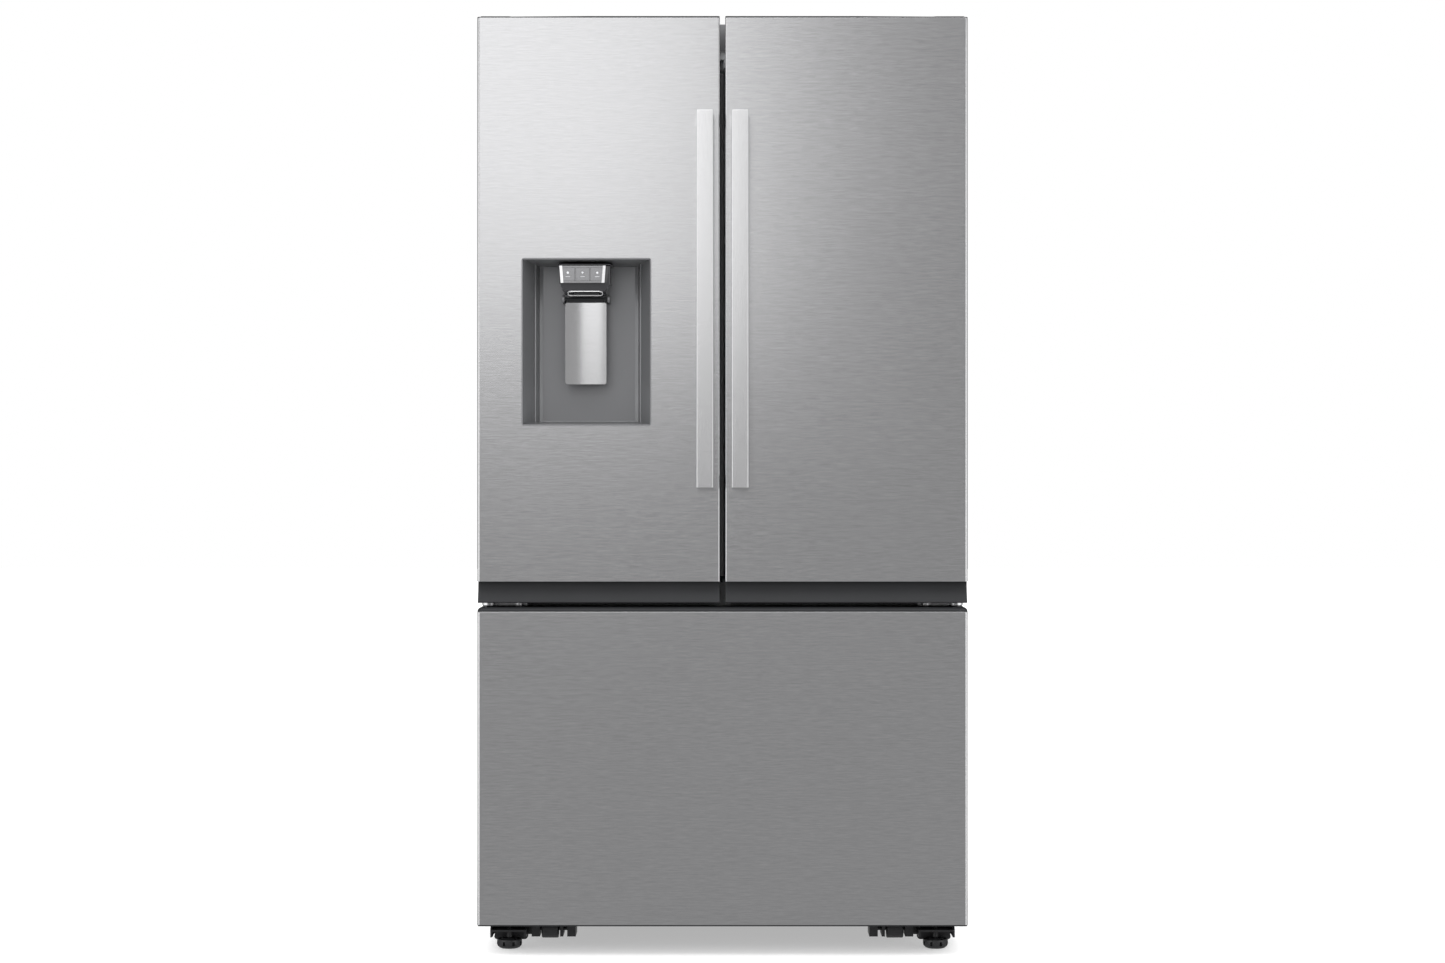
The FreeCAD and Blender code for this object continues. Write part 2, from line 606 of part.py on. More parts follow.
def door_outline(inset, y_back, z):
    """Plan view of a door with its two rounded front edges, shrunk by inset on three sides."""
    x0 = GAP_X + inset
    x1 = HALF - inset
    front = FRONT_Y + inset
    r_in = INNER_EDGE_R - inset * 0.8
    r_out = OUTER_EDGE_R - inset
    h = math.sqrt(0.5)
    in_mid = V(x0 + r_in * (1 - h), front + r_in * (1 - h), z)
    out_mid = V(x1 - r_out * (1 - h), front + r_out * (1 - h), z)
    edges = [
        Part.LineSegment(V(x0, y_back, z), V(x0, front + r_in, z)).toShape(),
        Part.Arc(V(x0, front + r_in, z), in_mid, V(x0 + r_in, front, z)).toShape(),
        Part.LineSegment(V(x0 + r_in, front, z), V(x1 - r_out, front, z)).toShape(),
        Part.Arc(V(x1 - r_out, front, z), out_mid, V(x1, front + r_out, z)).toShape(),
        Part.LineSegment(V(x1, front + r_out, z), V(x1, y_back, z)).toShape(),
        Part.LineSegment(V(x1, y_back, z), V(x0, y_back, z)).toShape(),
    ]
    return Part.Face(Part.Wire(edges))


def door_skin():
    """Stainless sheet bent round the front and both sides."""
    height = DOOR_STEEL_TOP - DOOR_STEEL_BOTTOM
    outer = door_outline(0, LINER_FACE_Y, DOOR_STEEL_BOTTOM).extrude(V(0, 0, height))
    inner = door_outline(SKIN, LINER_FACE_Y + 1, DOOR_STEEL_BOTTOM - 1).extrude(V(0, 0, height + 2))
    rebate = box(GAP_X - 1, GAP_X + 40, REBATE_Y, DOOR_BACK_Y, DOOR_STEEL_BOTTOM - 1, DOOR_STEEL_TOP + 1)
    return outer.cut([inner, rebate])


def door_top_cap():
    """Moulded closing cap: a thin lip over the steel and a body inside, bored for the hinge pin."""
    lip_low = DOOR_STEEL_TOP
    plate = door_outline(0.3, LINER_FACE_Y, lip_low).extrude(V(0, 0, DOOR_TOP - lip_low))
    body = door_outline(SKIN + 0.4, LINER_FACE_Y, TOP_CAP_LOW).extrude(V(0, 0, lip_low - TOP_CAP_LOW))
    cap = fuse([plate, body])
    rebate = box(GAP_X - 1, REBATE_X, REBATE_Y - 0.4, DOOR_BACK_Y, TOP_CAP_LOW - 2, DOOR_TOP + 1)
    bore = rod(BORE_R, (DOOR_AXIS_X, DOOR_AXIS_Y, CABINET_TOP - 19), Z_AXIS, 30)
    cap = cap.cut([rebate, bore])
    crown = prism([(HALF + 1, FRONT_Y - 1, DOOR_TOP - CROWN_DROP), (HALF + 1, FRONT_Y - 1, DOOR_TOP + 1),
                   (CROWN_START_X, FRONT_Y - 1, DOOR_TOP + 1), (CROWN_START_X, FRONT_Y - 1, DOOR_TOP)],
                  V(0, DOOR_DEPTH, 0))
    return cap.cut(crown)


def door_bottom_cap():
    """Moulded lower end with a hollow front, where fingers reach down to the drawer's grip."""
    body = door_outline(0.6, LINER_FACE_Y, DOOR_BOTTOM).extrude(V(0, 0, SCOOP_TOP - DOOR_BOTTOM))
    plug = door_outline(SKIN + 0.4, LINER_FACE_Y, SCOOP_TOP).extrude(V(0, 0, 20))
    cap = fuse([body, plug])
    x = GAP_X - 1
    low = V(x, FRONT_Y + 7, DOOR_BOTTOM + 2)
    deep = V(x, FRONT_Y + 17, DOOR_BOTTOM + 26)
    top = V(x, FRONT_Y + 19, SCOOP_TOP)
    edges = [
        Part.Arc(low, deep, top).toShape(),
        Part.LineSegment(top, V(x, FRONT_Y - 5, SCOOP_TOP)).toShape(),
        Part.LineSegment(V(x, FRONT_Y - 5, SCOOP_TOP), V(x, FRONT_Y - 5, DOOR_BOTTOM - 1)).toShape(),
        Part.LineSegment(V(x, FRONT_Y - 5, DOOR_BOTTOM - 1), V(x, FRONT_Y + 9, DOOR_BOTTOM - 1)).toShape(),
        Part.LineSegment(V(x, FRONT_Y + 9, DOOR_BOTTOM - 1), low).toShape(),
    ]
    scoop = Part.Face(Part.Wire(edges)).extrude(V(WIDTH, 0, 0))
    rebate = box(GAP_X - 1, REBATE_X, REBATE_Y - 0.4, DOOR_BACK_Y, DOOR_BOTTOM - 1, SCOOP_TOP + 21)
    bore = rod(BORE_R, (DOOR_AXIS_X, DOOR_AXIS_Y, DOOR_BOTTOM - 1), Z_AXIS, 22)
    return cap.cut([scoop, rebate, bore])


def foam_slab(x0, x1, z0, z1):
    """Slab of door foam between two heights and two widths, stepped back behind the rebate."""
    inset = SKIN + FOAM_CLEAR
    filled = door_outline(inset, LINER_FACE_Y, z0).extrude(V(0, 0, z1 - z0))
    step = box(GAP_X - 1, REBATE_X + LINER, REBATE_Y - 0.4, DOOR_BACK_Y, z0 - 1, z1 + 1)
    return filled.cut(step).common(box(x0, x1, FRONT_Y, DOOR_BACK_Y, z0, z1))


def door_liner():
    """Moulded back of a door: sheet, turned edge at the rebate, and ridges that hold the bins."""
    z0 = DOOR_BOTTOM
    z1 = DOOR_STEEL_TOP
    sheet = box(REBATE_X, HALF - 1.5, LINER_FACE_Y, DOOR_BACK_Y, z0 + 2, z1)
    edge = box(REBATE_X, REBATE_X + LINER, REBATE_Y - 0.4, DOOR_BACK_Y, FOAM_LOW, FOAM_HIGH)
    shapes = [sheet, edge]
    for x0, x1 in (RIDGE_OUTER, RIDGE_INNER):
        shapes.append(rounded_block(x0, x1, DOOR_BACK_Y - 1, RIDGE_BACK_Y, *RIDGE_Z, 5, Z_AXIS)
                      .common(box(x0, x1, DOOR_BACK_Y - 0.5, RIDGE_BACK_Y, *RIDGE_Z)))
    for z in RIDGE_Z:
        middle = z + 12 if z < 1000 else z - 12
        shapes.append(box(RIDGE_INNER[1] - 1, RIDGE_OUTER[0] + 1, DOOR_BACK_Y - 1, RIDGE_BACK_Y - 6,
                          middle - 12, middle + 12))
    return fuse(shapes)


def door_gasket(x0, x1, z0, z1):
    """Magnetic seal, a closed frame of soft section between door and cabinet."""
    return frame_of(x0, x1, z0, z1, 16.0, DOOR_BACK_Y, CABINET_FRONT_Y - 0.5)


def handle():
    """Flat bar on two end posts, one brushed extrusion with softened edges."""
    x0 = HANDLE_X - HANDLE_HALF
    x1 = HANDLE_X + HANDLE_HALF
    bar = box(x0, x1, HANDLE_Y, HANDLE_Y + BAR_THICK, *HANDLE_Z)
    bottom = box(x0, x1, HANDLE_Y + 1, FRONT_Y, HANDLE_Z[0], HANDLE_Z[0] + POST)
    top = box(x0, x1, HANDLE_Y + 1, FRONT_Y, HANDLE_Z[1] - POST, HANDLE_Z[1])
    whole = fuse([bar, bottom, top])
    return round_edges(whole, 1.8, lambda e: abs(e.BoundBox.YMax - HANDLE_Y) < 0.01
                       or (is_along(e, Y_AXIS) and e.Length > 30))


def bin_of(x0, x1, z, height):
    """Clear door bin with a deeper front bar."""
    back, front = BIN_Y
    body = tray(x0, x1, back, front, z, z + height, 2.5)
    bar = rounded_block(x0, x1, front - 6, front, z + height - 34, z + height, 2.0, X_AXIS)
    return fuse([body, bar])


keep("right_door_skin", [door_skin()])
keep("right_door_insulation", [foam_slab(0, HALF, FOAM_LOW, FOAM_HIGH)])
keep("right_door_liner", [door_liner()])
keep("right_door_caps", [door_top_cap(), door_bottom_cap()])
keep("right_door_gasket", [door_gasket(*GASKET_X, *GASKET_Z)])
keep("right_handle", [handle()])
keep("right_door_bins", [bin_of(*BIN_X, z, BIN_HEIGHT) for z in RIGHT_BIN_LEVELS])

# ---------------------------------------------------------------- dispenser, in the left door

RECESS_X = (-370.2, -133.4)
RECESS_Z = (985.3, 1291.3)
RECESS_DEPTH = 112.0
RIM = 2.0
HOUSING_WALL = 2.5
RECESS_BACK_Y = FRONT_Y + RECESS_DEPTH
RECESS_MID_X = (RECESS_X[0] + RECESS_X[1]) / 2
BACK_HALF = 87.5
BACK_Z = (993.0, 1285.0)
POCKET_X = (-378.0, -126.0)
POCKET_Z = (976.0, 1300.0)
BULGE_Y = RECESS_BACK_Y + HOUSING_WALL + 40
LEVER_AXIS_Y = -335.0
LEVER_AXIS_Z = 1222.0
LUG_OUTER = 52.2
LUG_THICK = 6.0
PADDLE_MID_X = -255.8
PADDLE_HALF = 38.4
PADDLE_Z = (1062.0, 1218.0)
PANEL_X = (-303.0, -217.0)
PANEL_Z = (1249.0, 1281.0)
PANEL_Y = FRONT_Y + 24
PANEL_THICK = 4.0
KEY_W = 25.4
KEY_PITCH = 27.4
KEY_Z = (1253.0, 1277.0)
KEY_CLEAR = 0.4
NOZZLE_LOW = 1228.0
CHUTE = (52.0, 26.0, 40.0)
MULLION_X = (-45.0, 3.0)
MULLION_Y = (-301.0, -285.0)
MULLION_Z = (702.0, 1649.0)
MULLION_AXIS_X = -42.0
MULLION_AXIS_Y = -293.0


def rectangle(x0, x1, z0, z1, y):
    """Closed wire round a rectangle that faces the front."""
    return Part.makePolygon([V(x0, y, z0), V(x1, y, z0), V(x1, y, z1), V(x0, y, z1), V(x0, y, z0)])


def taper(front, back, y_front, y_back):
    """Solid between a front and a back rectangle, each (x0, x1, z0, z1)."""
    wires = [rectangle(*front, y_front), rectangle(*back, y_back)]
    return Part.makeLoft(wires, True, True)


def recess_hollow(grow):
    """Tapered space of the dispenser, grown by the wall for its outside."""
    front = (RECESS_X[0] - grow, RECESS_X[1] + grow, RECESS_Z[0] - grow, RECESS_Z[1] + grow)
    back = (RECESS_MID_X - BACK_HALF - grow, RECESS_MID_X + BACK_HALF + grow, BACK_Z[0] - grow,
            BACK_Z[1] + grow)
    return taper(front, back, FRONT_Y, RECESS_BACK_Y)


def left_door_skin():
    """The mirrored skin, cut out for the dispenser."""
    hole = rounded_block(RECESS_X[0] - RIM, RECESS_X[1] + RIM, FRONT_Y - 5, FRONT_Y + 20,
                         RECESS_Z[0] - RIM, RECESS_Z[1] + RIM, 5.0, Y_AXIS)
    return flip(door_skin()).cut(hole)


def left_door_foam():
    """Foam of the left door as slabs round the dispenser, and a pad behind its recess."""
    slabs = [flip(foam_slab(0, HALF, FOAM_LOW, POCKET_Z[0])),
             flip(foam_slab(0, HALF, POCKET_Z[1], FOAM_HIGH)),
             flip(foam_slab(0, -POCKET_X[1], *POCKET_Z)),
             flip(foam_slab(-POCKET_X[0], HALF, *POCKET_Z))]
    slabs.append(box(POCKET_X[0] + 2, POCKET_X[1] - 2, RECESS_BACK_Y + HOUSING_WALL, BULGE_Y,
                     POCKET_Z[0] + 2, POCKET_Z[1] - 2))
    return slabs


def left_door_liner():
    """The mirrored liner with a raised box behind the dispenser and the mullion's lugs."""
    x0 = POCKET_X[0]
    x1 = POCKET_X[1]
    z0 = POCKET_Z[0]
    z1 = POCKET_Z[1]
    shell = box(x0, x1, DOOR_BACK_Y - 1, BULGE_Y + LINER, z0, z1)
    hollow = box(x0 + LINER, x1 - LINER, LINER_FACE_Y - 1, BULGE_Y, z0 + LINER, z1 - LINER)
    lugs = []
    for z in (MULLION_Z[0] - 10, MULLION_Z[1] + 2):
        lugs.append(box(MULLION_AXIS_X - 8, MULLION_AXIS_X + 6, DOOR_BACK_Y - 1, MULLION_AXIS_Y + 6,
                        z, z + 8))
    bore = rod(SMALL_PIN_R + RUNNING, (MULLION_AXIS_X, MULLION_AXIS_Y, MULLION_Z[0] - 20), Z_AXIS,
               MULLION_Z[1] - MULLION_Z[0] + 40)
    return fuse([flip(door_liner()), shell] + lugs).cut([hollow, bore])


def dispenser_housing():
    """Tapered black recess with a thin rim, a drip lip and two lugs for the paddle's rod."""
    rim = rounded_block(RECESS_X[0] - RIM, RECESS_X[1] + RIM, FRONT_Y + 0.3, FRONT_Y + 3,
                        RECESS_Z[0] - RIM, RECESS_Z[1] + RIM, 5.0, Y_AXIS)
    wall = recess_hollow(HOUSING_WALL).common(box(-400, -100, FRONT_Y + SKIN + 0.2, 0, 900, 1400))
    back = box(RECESS_MID_X - BACK_HALF - HOUSING_WALL, RECESS_MID_X + BACK_HALF + HOUSING_WALL,
               RECESS_BACK_Y, RECESS_BACK_Y + HOUSING_WALL, BACK_Z[0] - HOUSING_WALL,
               BACK_Z[1] + HOUSING_WALL)
    shell = fuse([rim, wall, back]).cut(recess_hollow(0))
    shapes = [shell]
    for side in (-1, 1):
        x = PADDLE_MID_X + side * LUG_OUTER
        shapes.append(box(x, x - side * LUG_THICK, LEVER_AXIS_Y - 7, RECESS_BACK_Y + 1,
                          LEVER_AXIS_Z - 7, LEVER_AXIS_Z + 7))
    bore = rod(SMALL_PIN_R + RUNNING, (PADDLE_MID_X - 70, LEVER_AXIS_Y, LEVER_AXIS_Z), X_AXIS, 140)
    shapes.append(box(RECESS_X[0] + 8, RECESS_X[1] - 8, FRONT_Y + 12, FRONT_Y + 15, RECESS_Z[0] - 1,
                      RECESS_Z[0] + 6))
    return fuse(shapes).cut(bore)


def paddle():
    """Steel plate that hangs from a cross rod; a glass pushes it back."""
    plate = rounded_block(PADDLE_MID_X - PADDLE_HALF, PADDLE_MID_X + PADDLE_HALF, LEVER_AXIS_Y - 2,
                          LEVER_AXIS_Y + 1, *PADDLE_Z, 4.0, Y_AXIS)
    cross = rod(SMALL_PIN_R, (PADDLE_MID_X - 51, LEVER_AXIS_Y, LEVER_AXIS_Z), X_AXIS, 102)
    neck = box(PADDLE_MID_X - 36, PADDLE_MID_X + 36, LEVER_AXIS_Y - 2, LEVER_AXIS_Y + 1,
               PADDLE_Z[1] - 6, LEVER_AXIS_Z)
    return fuse([plate, neck, cross])


def key_x(i):
    """Left edge of a key, counted from the left."""
    return (PANEL_X[0] + PANEL_X[1]) / 2 - KEY_W / 2 + (i - 1) * KEY_PITCH


def dispenser_panel():
    """Satin front of the controls with a window for each key."""
    front = rounded_block(*PANEL_X, PANEL_Y, PANEL_Y + PANEL_THICK, *PANEL_Z, 2.0, Y_AXIS)
    windows = [box(key_x(i) - KEY_CLEAR, key_x(i) + KEY_W + KEY_CLEAR, PANEL_Y - 1, PANEL_Y + 5,
                   KEY_Z[0] - KEY_CLEAR, KEY_Z[1] + KEY_CLEAR) for i in range(3)]
    return front.cut(windows)


def key(i):
    """Rocker-thin key that stands a little proud of the panel."""
    return rounded_block(key_x(i), key_x(i) + KEY_W, PANEL_Y - 0.9, PANEL_Y + 2.4, *KEY_Z, 1.0, Y_AXIS)


def dispenser_nozzle():
    """Dark body that holds the controls, and below it the tapered outlet with its chute."""
    y0 = PANEL_Y + PANEL_THICK
    y1 = LEVER_AXIS_Y - 8
    x0 = PANEL_X[0]
    x1 = PANEL_X[1] + 9
    low, high = PANEL_Z
    back = RECESS_BACK_Y - 0.5
    cap_low = high + 0.2
    body = box(x0, x1, y0, back, low, cap_low)
    cap = rounded_block(x0 - 3, x1 + 3, PANEL_Y - 3, back, cap_low, cap_low + 3.4, 1.5, X_AXIS)
    narrow = [V(x0 + 15, y0, NOZZLE_LOW), V(x1 - 12, y0, NOZZLE_LOW), V(x1 - 12, y1, NOZZLE_LOW),
              V(x0 + 15, y1, NOZZLE_LOW)]
    wide = [V(x0, y0, low), V(x1, y0, low), V(x1, y1, low), V(x0, y1, low)]
    lower = Part.makeLoft([Part.makePolygon(ring + ring[:1]) for ring in (narrow, wide)], True, True)
    mid_x = (narrow[0].x + narrow[1].x) / 2
    mid_y = (y0 + y1) / 2
    chute = box(mid_x - CHUTE[0] / 2, mid_x + CHUTE[0] / 2, mid_y - CHUTE[1] / 2, mid_y + CHUTE[1] / 2,
                NOZZLE_LOW - 1, NOZZLE_LOW + CHUTE[2])
    hollow = box(PANEL_X[0] + 3, PANEL_X[1] - 3, y0 - 1, y0 + 3, low + 3, high - 3)
    return fuse([body, cap, lower]).cut([chute, hollow])


def mullion():
    """Flap on the left door's inner edge that the gaskets meet at the centre; it turns on two pins."""
    bar = rounded_block(*MULLION_X, *MULLION_Y, *MULLION_Z, 2.0, Z_AXIS)
    pins = rod(SMALL_PIN_R, (MULLION_AXIS_X, MULLION_AXIS_Y, MULLION_Z[0] - 9), Z_AXIS,
               MULLION_Z[1] - MULLION_Z[0] + 18)
    follower = rod(4, (-14, MULLION_AXIS_Y, MULLION_Z[1] - 1), Z_AXIS, 9)
    return fuse([bar, pins, follower])


def mullion_guide():
    """Block under the fridge ceiling whose groove turns the mullion."""
    block = rounded_block(-40, 22, -297, -250, 1660, FRIDGE_CEILING, 4, Z_AXIS)
    groove = box(-32, 2, -300, -264, 1655, 1676)
    return block.cut(groove)


keep("left_door_skin", [left_door_skin()])
keep("left_door_insulation", left_door_foam())
keep("left_door_liner", [left_door_liner()])
keep("left_door_caps", [flip(door_top_cap()), flip(door_bottom_cap())])
keep("left_door_gasket", [flip(door_gasket(*GASKET_X, *GASKET_Z))])
keep("left_handle", [flip(handle())])
keep("left_door_bins", [flip(bin_of(*BIN_X, z, BIN_HEIGHT)) for z in LEFT_BIN_LEVELS])
keep("dispenser_housing", [dispenser_housing()])
keep("dispenser_panel", [dispenser_panel()])
keep("dispenser_nozzle", [dispenser_nozzle()])
keep("dispenser_paddle", [paddle()])
for number in range(3):
    keep(f"dispenser_key_{number + 1}", [key(number)])
keep("mullion", [mullion()])
keep("mullion_guide", [mullion_guide()])

# ---------------------------------------------------------------- freezer drawer

GRIP_HALF = 330.0
GRIP_Y = (FRONT_Y + 14, FRONT_Y + 40)
GRIP_DEPTH = 18.0
RAIL_Z = (296.0, 336.0)
DRAWER_RAIL_X = (376.0, 382.0)
MIDDLE_RAIL_X = (383.5, 388.5)
FIXED_RAIL_X = (390.0, 396.0)
CROSS_BAR_Y = (-290.0, 120.0)
CROSS_BAR_LOW = 118.0
BIN_FLOOR = 124.0
BIN_RIM = 430.0


def drawer_block(inset, y_back, z0, z1):
    """Solid of the drawer front between two heights, its front vertical edges rounded."""
    x1 = HALF - inset
    front = FRONT_Y + inset
    block = box(-x1, x1, front, y_back, z0, z1)
    return round_edges(block, OUTER_EDGE_R - inset,
                       lambda e: is_along(e, Z_AXIS) and e.BoundBox.YMax < front + 1)


def drawer_skin():
    """Flat stainless sheet bent back at both sides."""
    outer = drawer_block(0, LINER_FACE_Y, DRAWER_STEEL_BOTTOM, DRAWER_STEEL_TOP)
    inner = drawer_block(SKIN, LINER_FACE_Y + 1, DRAWER_STEEL_BOTTOM - 1, DRAWER_STEEL_TOP + 1)
    return outer.cut(inner)


def drawer_top_cap():
    """Moulded grip along the top: rounded ends, a sloped front edge and a finger groove behind."""
    plate = drawer_block(0.3, LINER_FACE_Y, DRAWER_STEEL_TOP, DRAWER_TOP)
    plate = round_edges(plate, 7.0, lambda e: is_along(e, Y_AXIS) and e.BoundBox.ZMax > DRAWER_TOP - 1)
    body = drawer_block(SKIN + 0.4, LINER_FACE_Y, DRAWER_STEEL_TOP - 22, DRAWER_STEEL_TOP)
    cap = fuse([plate, body])
    slope = prism([(-WIDTH, FRONT_Y - 1, DRAWER_STEEL_TOP + 3), (-WIDTH, FRONT_Y + 5, DRAWER_TOP + 0.1),
                   (-WIDTH, FRONT_Y - 1, DRAWER_TOP + 1)], V(2 * WIDTH, 0, 0))
    groove = rounded_block(-GRIP_HALF, GRIP_HALF, *GRIP_Y, DRAWER_TOP - GRIP_DEPTH, DRAWER_TOP + 1, 6,
                           Z_AXIS)
    return cap.cut([slope, groove])


def drawer_bottom_cap():
    """Thin moulded strip that closes the drawer front below."""
    strip = drawer_block(0.8, LINER_FACE_Y, DRAWER_BOTTOM, DRAWER_STEEL_BOTTOM)
    body = drawer_block(SKIN + 0.4, LINER_FACE_Y, DRAWER_STEEL_BOTTOM, DRAWER_STEEL_BOTTOM + 12)
    return fuse([strip, body])


def drawer_liner():
    """Back of the drawer front with a shallow raised field inside the seal."""
    sheet = box(-HALF + 1.5, HALF - 1.5, LINER_FACE_Y, DOOR_BACK_Y, DRAWER_BOTTOM + 3, DRAWER_STEEL_TOP)
    field = box(-380, 380, DOOR_BACK_Y - 0.5, DOOR_BACK_Y + 10, 124, 606)
    return fuse([sheet, field])


keep("freezer_door_skin", [drawer_skin()])
keep("freezer_door_insulation", [drawer_block(SKIN + FOAM_CLEAR, LINER_FACE_Y, DRAWER_STEEL_BOTTOM + 12.5,
                                              DRAWER_STEEL_TOP - 22.5)])
keep("freezer_door_liner", [drawer_liner()])
keep("freezer_door_caps", [drawer_top_cap(), drawer_bottom_cap()])
keep("freezer_door_gasket", [door_gasket(-430.0, 430.0, 78.0, 636.0)])


def drawer_frame():
    """Welded steel frame behind the drawer front: two rails tied by cross bars under the bin."""
    shapes = []
    front = DOOR_BACK_Y + 10
    for side in (-1, 1):
        x0 = side * DRAWER_RAIL_X[0]
        x1 = side * DRAWER_RAIL_X[1]
        shapes.append(box(x0, x1, front, CROSS_BAR_Y[1] + 10, RAIL_Z[0] + 6, RAIL_Z[1] - 6))
        shapes.append(box(side * 350, x1, front, front + 2, 200, 420))
        for y in CROSS_BAR_Y:
            shapes.append(box(x0, x1, y, y + 10, CROSS_BAR_LOW, RAIL_Z[1] - 6))
    for y in CROSS_BAR_Y:
        shapes.append(box(-DRAWER_RAIL_X[1], DRAWER_RAIL_X[1], y, y + 10, CROSS_BAR_LOW,
                          CROSS_BAR_LOW + 4))
    return fuse(shapes)


def freezer_bin():
    """Deep white bin that sits in the frame."""
    body = tray(-366, 366, -296, 112, BIN_FLOOR, BIN_RIM, 3)
    rim = rounded_block(-372, 372, -302, 118, BIN_RIM - 5, BIN_RIM, 12, Z_AXIS)
    mouth = rounded_block(-363, 363, -293, 109, BIN_RIM - 10, BIN_RIM + 10, 6, Z_AXIS)
    return fuse([body, rim.cut(mouth)])


def freezer_basket():
    """Shallow upper basket that slides back on the rims of the bin."""
    body = tray(-362, 362, -270, -30, 452, 560, 2.5)
    runners = [box(side * 352, side * 370, -268, -32, BIN_RIM + 1, 453) for side in (-1, 1)]
    return fuse([body] + runners)


def rail(x0, x1, y0, y1, inset):
    """Pair of slide members, one each side."""
    return [box(side * x0, side * x1, y0, y1, RAIL_Z[0] + inset, RAIL_Z[1] - inset) for side in (-1, 1)]


def fixed_rails():
    """Cabinet members of the slides, each on a spacer against the side wall."""
    spacers = [box(side * (FIXED_RAIL_X[1] - 1), side * WALL_INNER, -250, 130, RAIL_Z[0] + 10,
                   RAIL_Z[1] - 10) for side in (-1, 1)]
    return [fuse(pair) for pair in zip(rail(*FIXED_RAIL_X, -290, 146, 0), spacers)]


keep("drawer_frame", [drawer_frame()])
keep("freezer_bin", [freezer_bin()])
keep("freezer_basket", [freezer_basket()])
keep("rail_middles", rail(*MIDDLE_RAIL_X, -296, 140, 4))
keep("freezer_rails", fixed_rails())

# ---------------------------------------------------------------- write the sub-parts

os.makedirs("parts", exist_ok=True)
for old in os.listdir("parts"):
    if old.endswith(".step") and old[:-5] not in parts:
        os.remove(os.path.join("parts", old))
for name, shape in parts.items():
    shape.exportStep(os.path.join("parts", name + ".step"))
    print(name, len(shape.Solids), shape.isValid(), round(shape.Volume / 1000))
print(len(parts), "sub-parts")
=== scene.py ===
import math

import bmesh
import bpy
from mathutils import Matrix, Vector


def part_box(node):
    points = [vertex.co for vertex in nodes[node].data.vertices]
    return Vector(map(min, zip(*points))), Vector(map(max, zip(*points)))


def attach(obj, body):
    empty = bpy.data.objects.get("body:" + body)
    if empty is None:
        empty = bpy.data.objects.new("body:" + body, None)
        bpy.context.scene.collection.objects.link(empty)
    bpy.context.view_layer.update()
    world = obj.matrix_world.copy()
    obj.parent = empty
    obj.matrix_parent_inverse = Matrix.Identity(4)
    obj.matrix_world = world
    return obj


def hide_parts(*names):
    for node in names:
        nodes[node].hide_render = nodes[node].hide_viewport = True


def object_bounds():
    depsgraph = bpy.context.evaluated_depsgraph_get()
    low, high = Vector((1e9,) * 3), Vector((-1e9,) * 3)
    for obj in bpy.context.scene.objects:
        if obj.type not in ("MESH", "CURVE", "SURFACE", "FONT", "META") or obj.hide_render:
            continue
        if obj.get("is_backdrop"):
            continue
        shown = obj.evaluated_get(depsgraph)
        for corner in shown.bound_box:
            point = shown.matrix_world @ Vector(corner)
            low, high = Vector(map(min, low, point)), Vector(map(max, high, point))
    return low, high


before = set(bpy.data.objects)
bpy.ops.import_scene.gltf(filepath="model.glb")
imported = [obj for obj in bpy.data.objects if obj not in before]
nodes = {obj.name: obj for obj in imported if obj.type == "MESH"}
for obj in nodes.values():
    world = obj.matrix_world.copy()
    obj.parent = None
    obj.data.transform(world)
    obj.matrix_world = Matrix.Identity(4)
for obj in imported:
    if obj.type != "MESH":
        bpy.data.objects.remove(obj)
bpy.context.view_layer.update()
bpy.ops.object.select_all(action="DESELECT")

# ------------------------------------------------------------------ upper door sheets
# Each upper door's front is one stainless sheet, brushed along its width, bent back round both
# vertical edges with a tighter bend at the centre, and folded over the foam behind.


class Value:
    """A shader socket on which Python arithmetic adds Math nodes."""

    def __init__(self, finish, socket):
        self.finish = finish
        self.socket = socket

    def math(self, operation, *others):
        return self.finish.node("Math", {"operation": operation}, dict(enumerate((self,) + others)))

    def __add__(self, other):
        return self.math("ADD", other)

    def __mul__(self, other):
        return self.math("MULTIPLY", other)

    __radd__ = __add__
    __rmul__ = __mul__

    def within(self, low, high):
        """0 below low, 1 above high, and even between."""
        return self.finish.node("MapRange", {"clamp": True},
                                {"Value": self, "From Min": low, "From Max": high})


class Finish:
    """A material under construction, with its shader's fixed values given by name."""

    def __init__(self, name, colour, **fixed):
        self.material = bpy.data.materials.new(name)
        self.material.use_nodes = True
        self.tree = self.material.node_tree
        self.shader = self.tree.nodes["Principled BSDF"]
        self.shader.inputs["Base Color"].default_value = (*colour, 1)
        for label, value in fixed.items():
            self.shader.inputs[label.replace("_", " ").title().replace("Ior", "IOR")].default_value = value

    def node(self, kind, settings, sockets, out=0):
        """One shader node: its settings, then the values or links of its sockets."""
        made = self.tree.nodes.new("ShaderNode" + kind)
        for label, value in settings.items():
            setattr(made, label, value)
        for label, value in sockets.items():
            if isinstance(value, Value):
                self.tree.links.new(value.socket, made.inputs[label])
            else:
                made.inputs[label].default_value = value
        return Value(self, made.outputs[out])

    def place(self):
        """Position on the piece, in metres."""
        return self.node("TexCoord", {}, {}, "Object")

    def noise(self, stretch, scale, detail=2.0, roughness=0.5):
        """Noise over the piece, its pattern squeezed by a factor along each axis."""
        spot = self.node("Mapping", {}, {"Vector": self.place(), "Scale": stretch})
        return self.node("TexNoise", {}, {"Vector": spot, "Scale": scale, "Detail": detail,
                                          "Roughness": roughness})

    def mix(self, share, first, second):
        """Colour between two colours."""
        return self.node("Mix", {"data_type": "RGBA"}, {0: share, 6: (*first, 1), 7: (*second, 1)}, 2)

    def drive(self, label, value):
        """Links a changing value to one of the shader's sockets."""
        self.tree.links.new(value.socket, self.shader.inputs[label])

    def bump(self, height, strength, distance):
        """Fine relief from a height, its distance in metres."""
        relief = self.node("Bump", {}, {"Height": height, "Strength": strength, "Distance": distance})
        self.drive("Normal", relief)


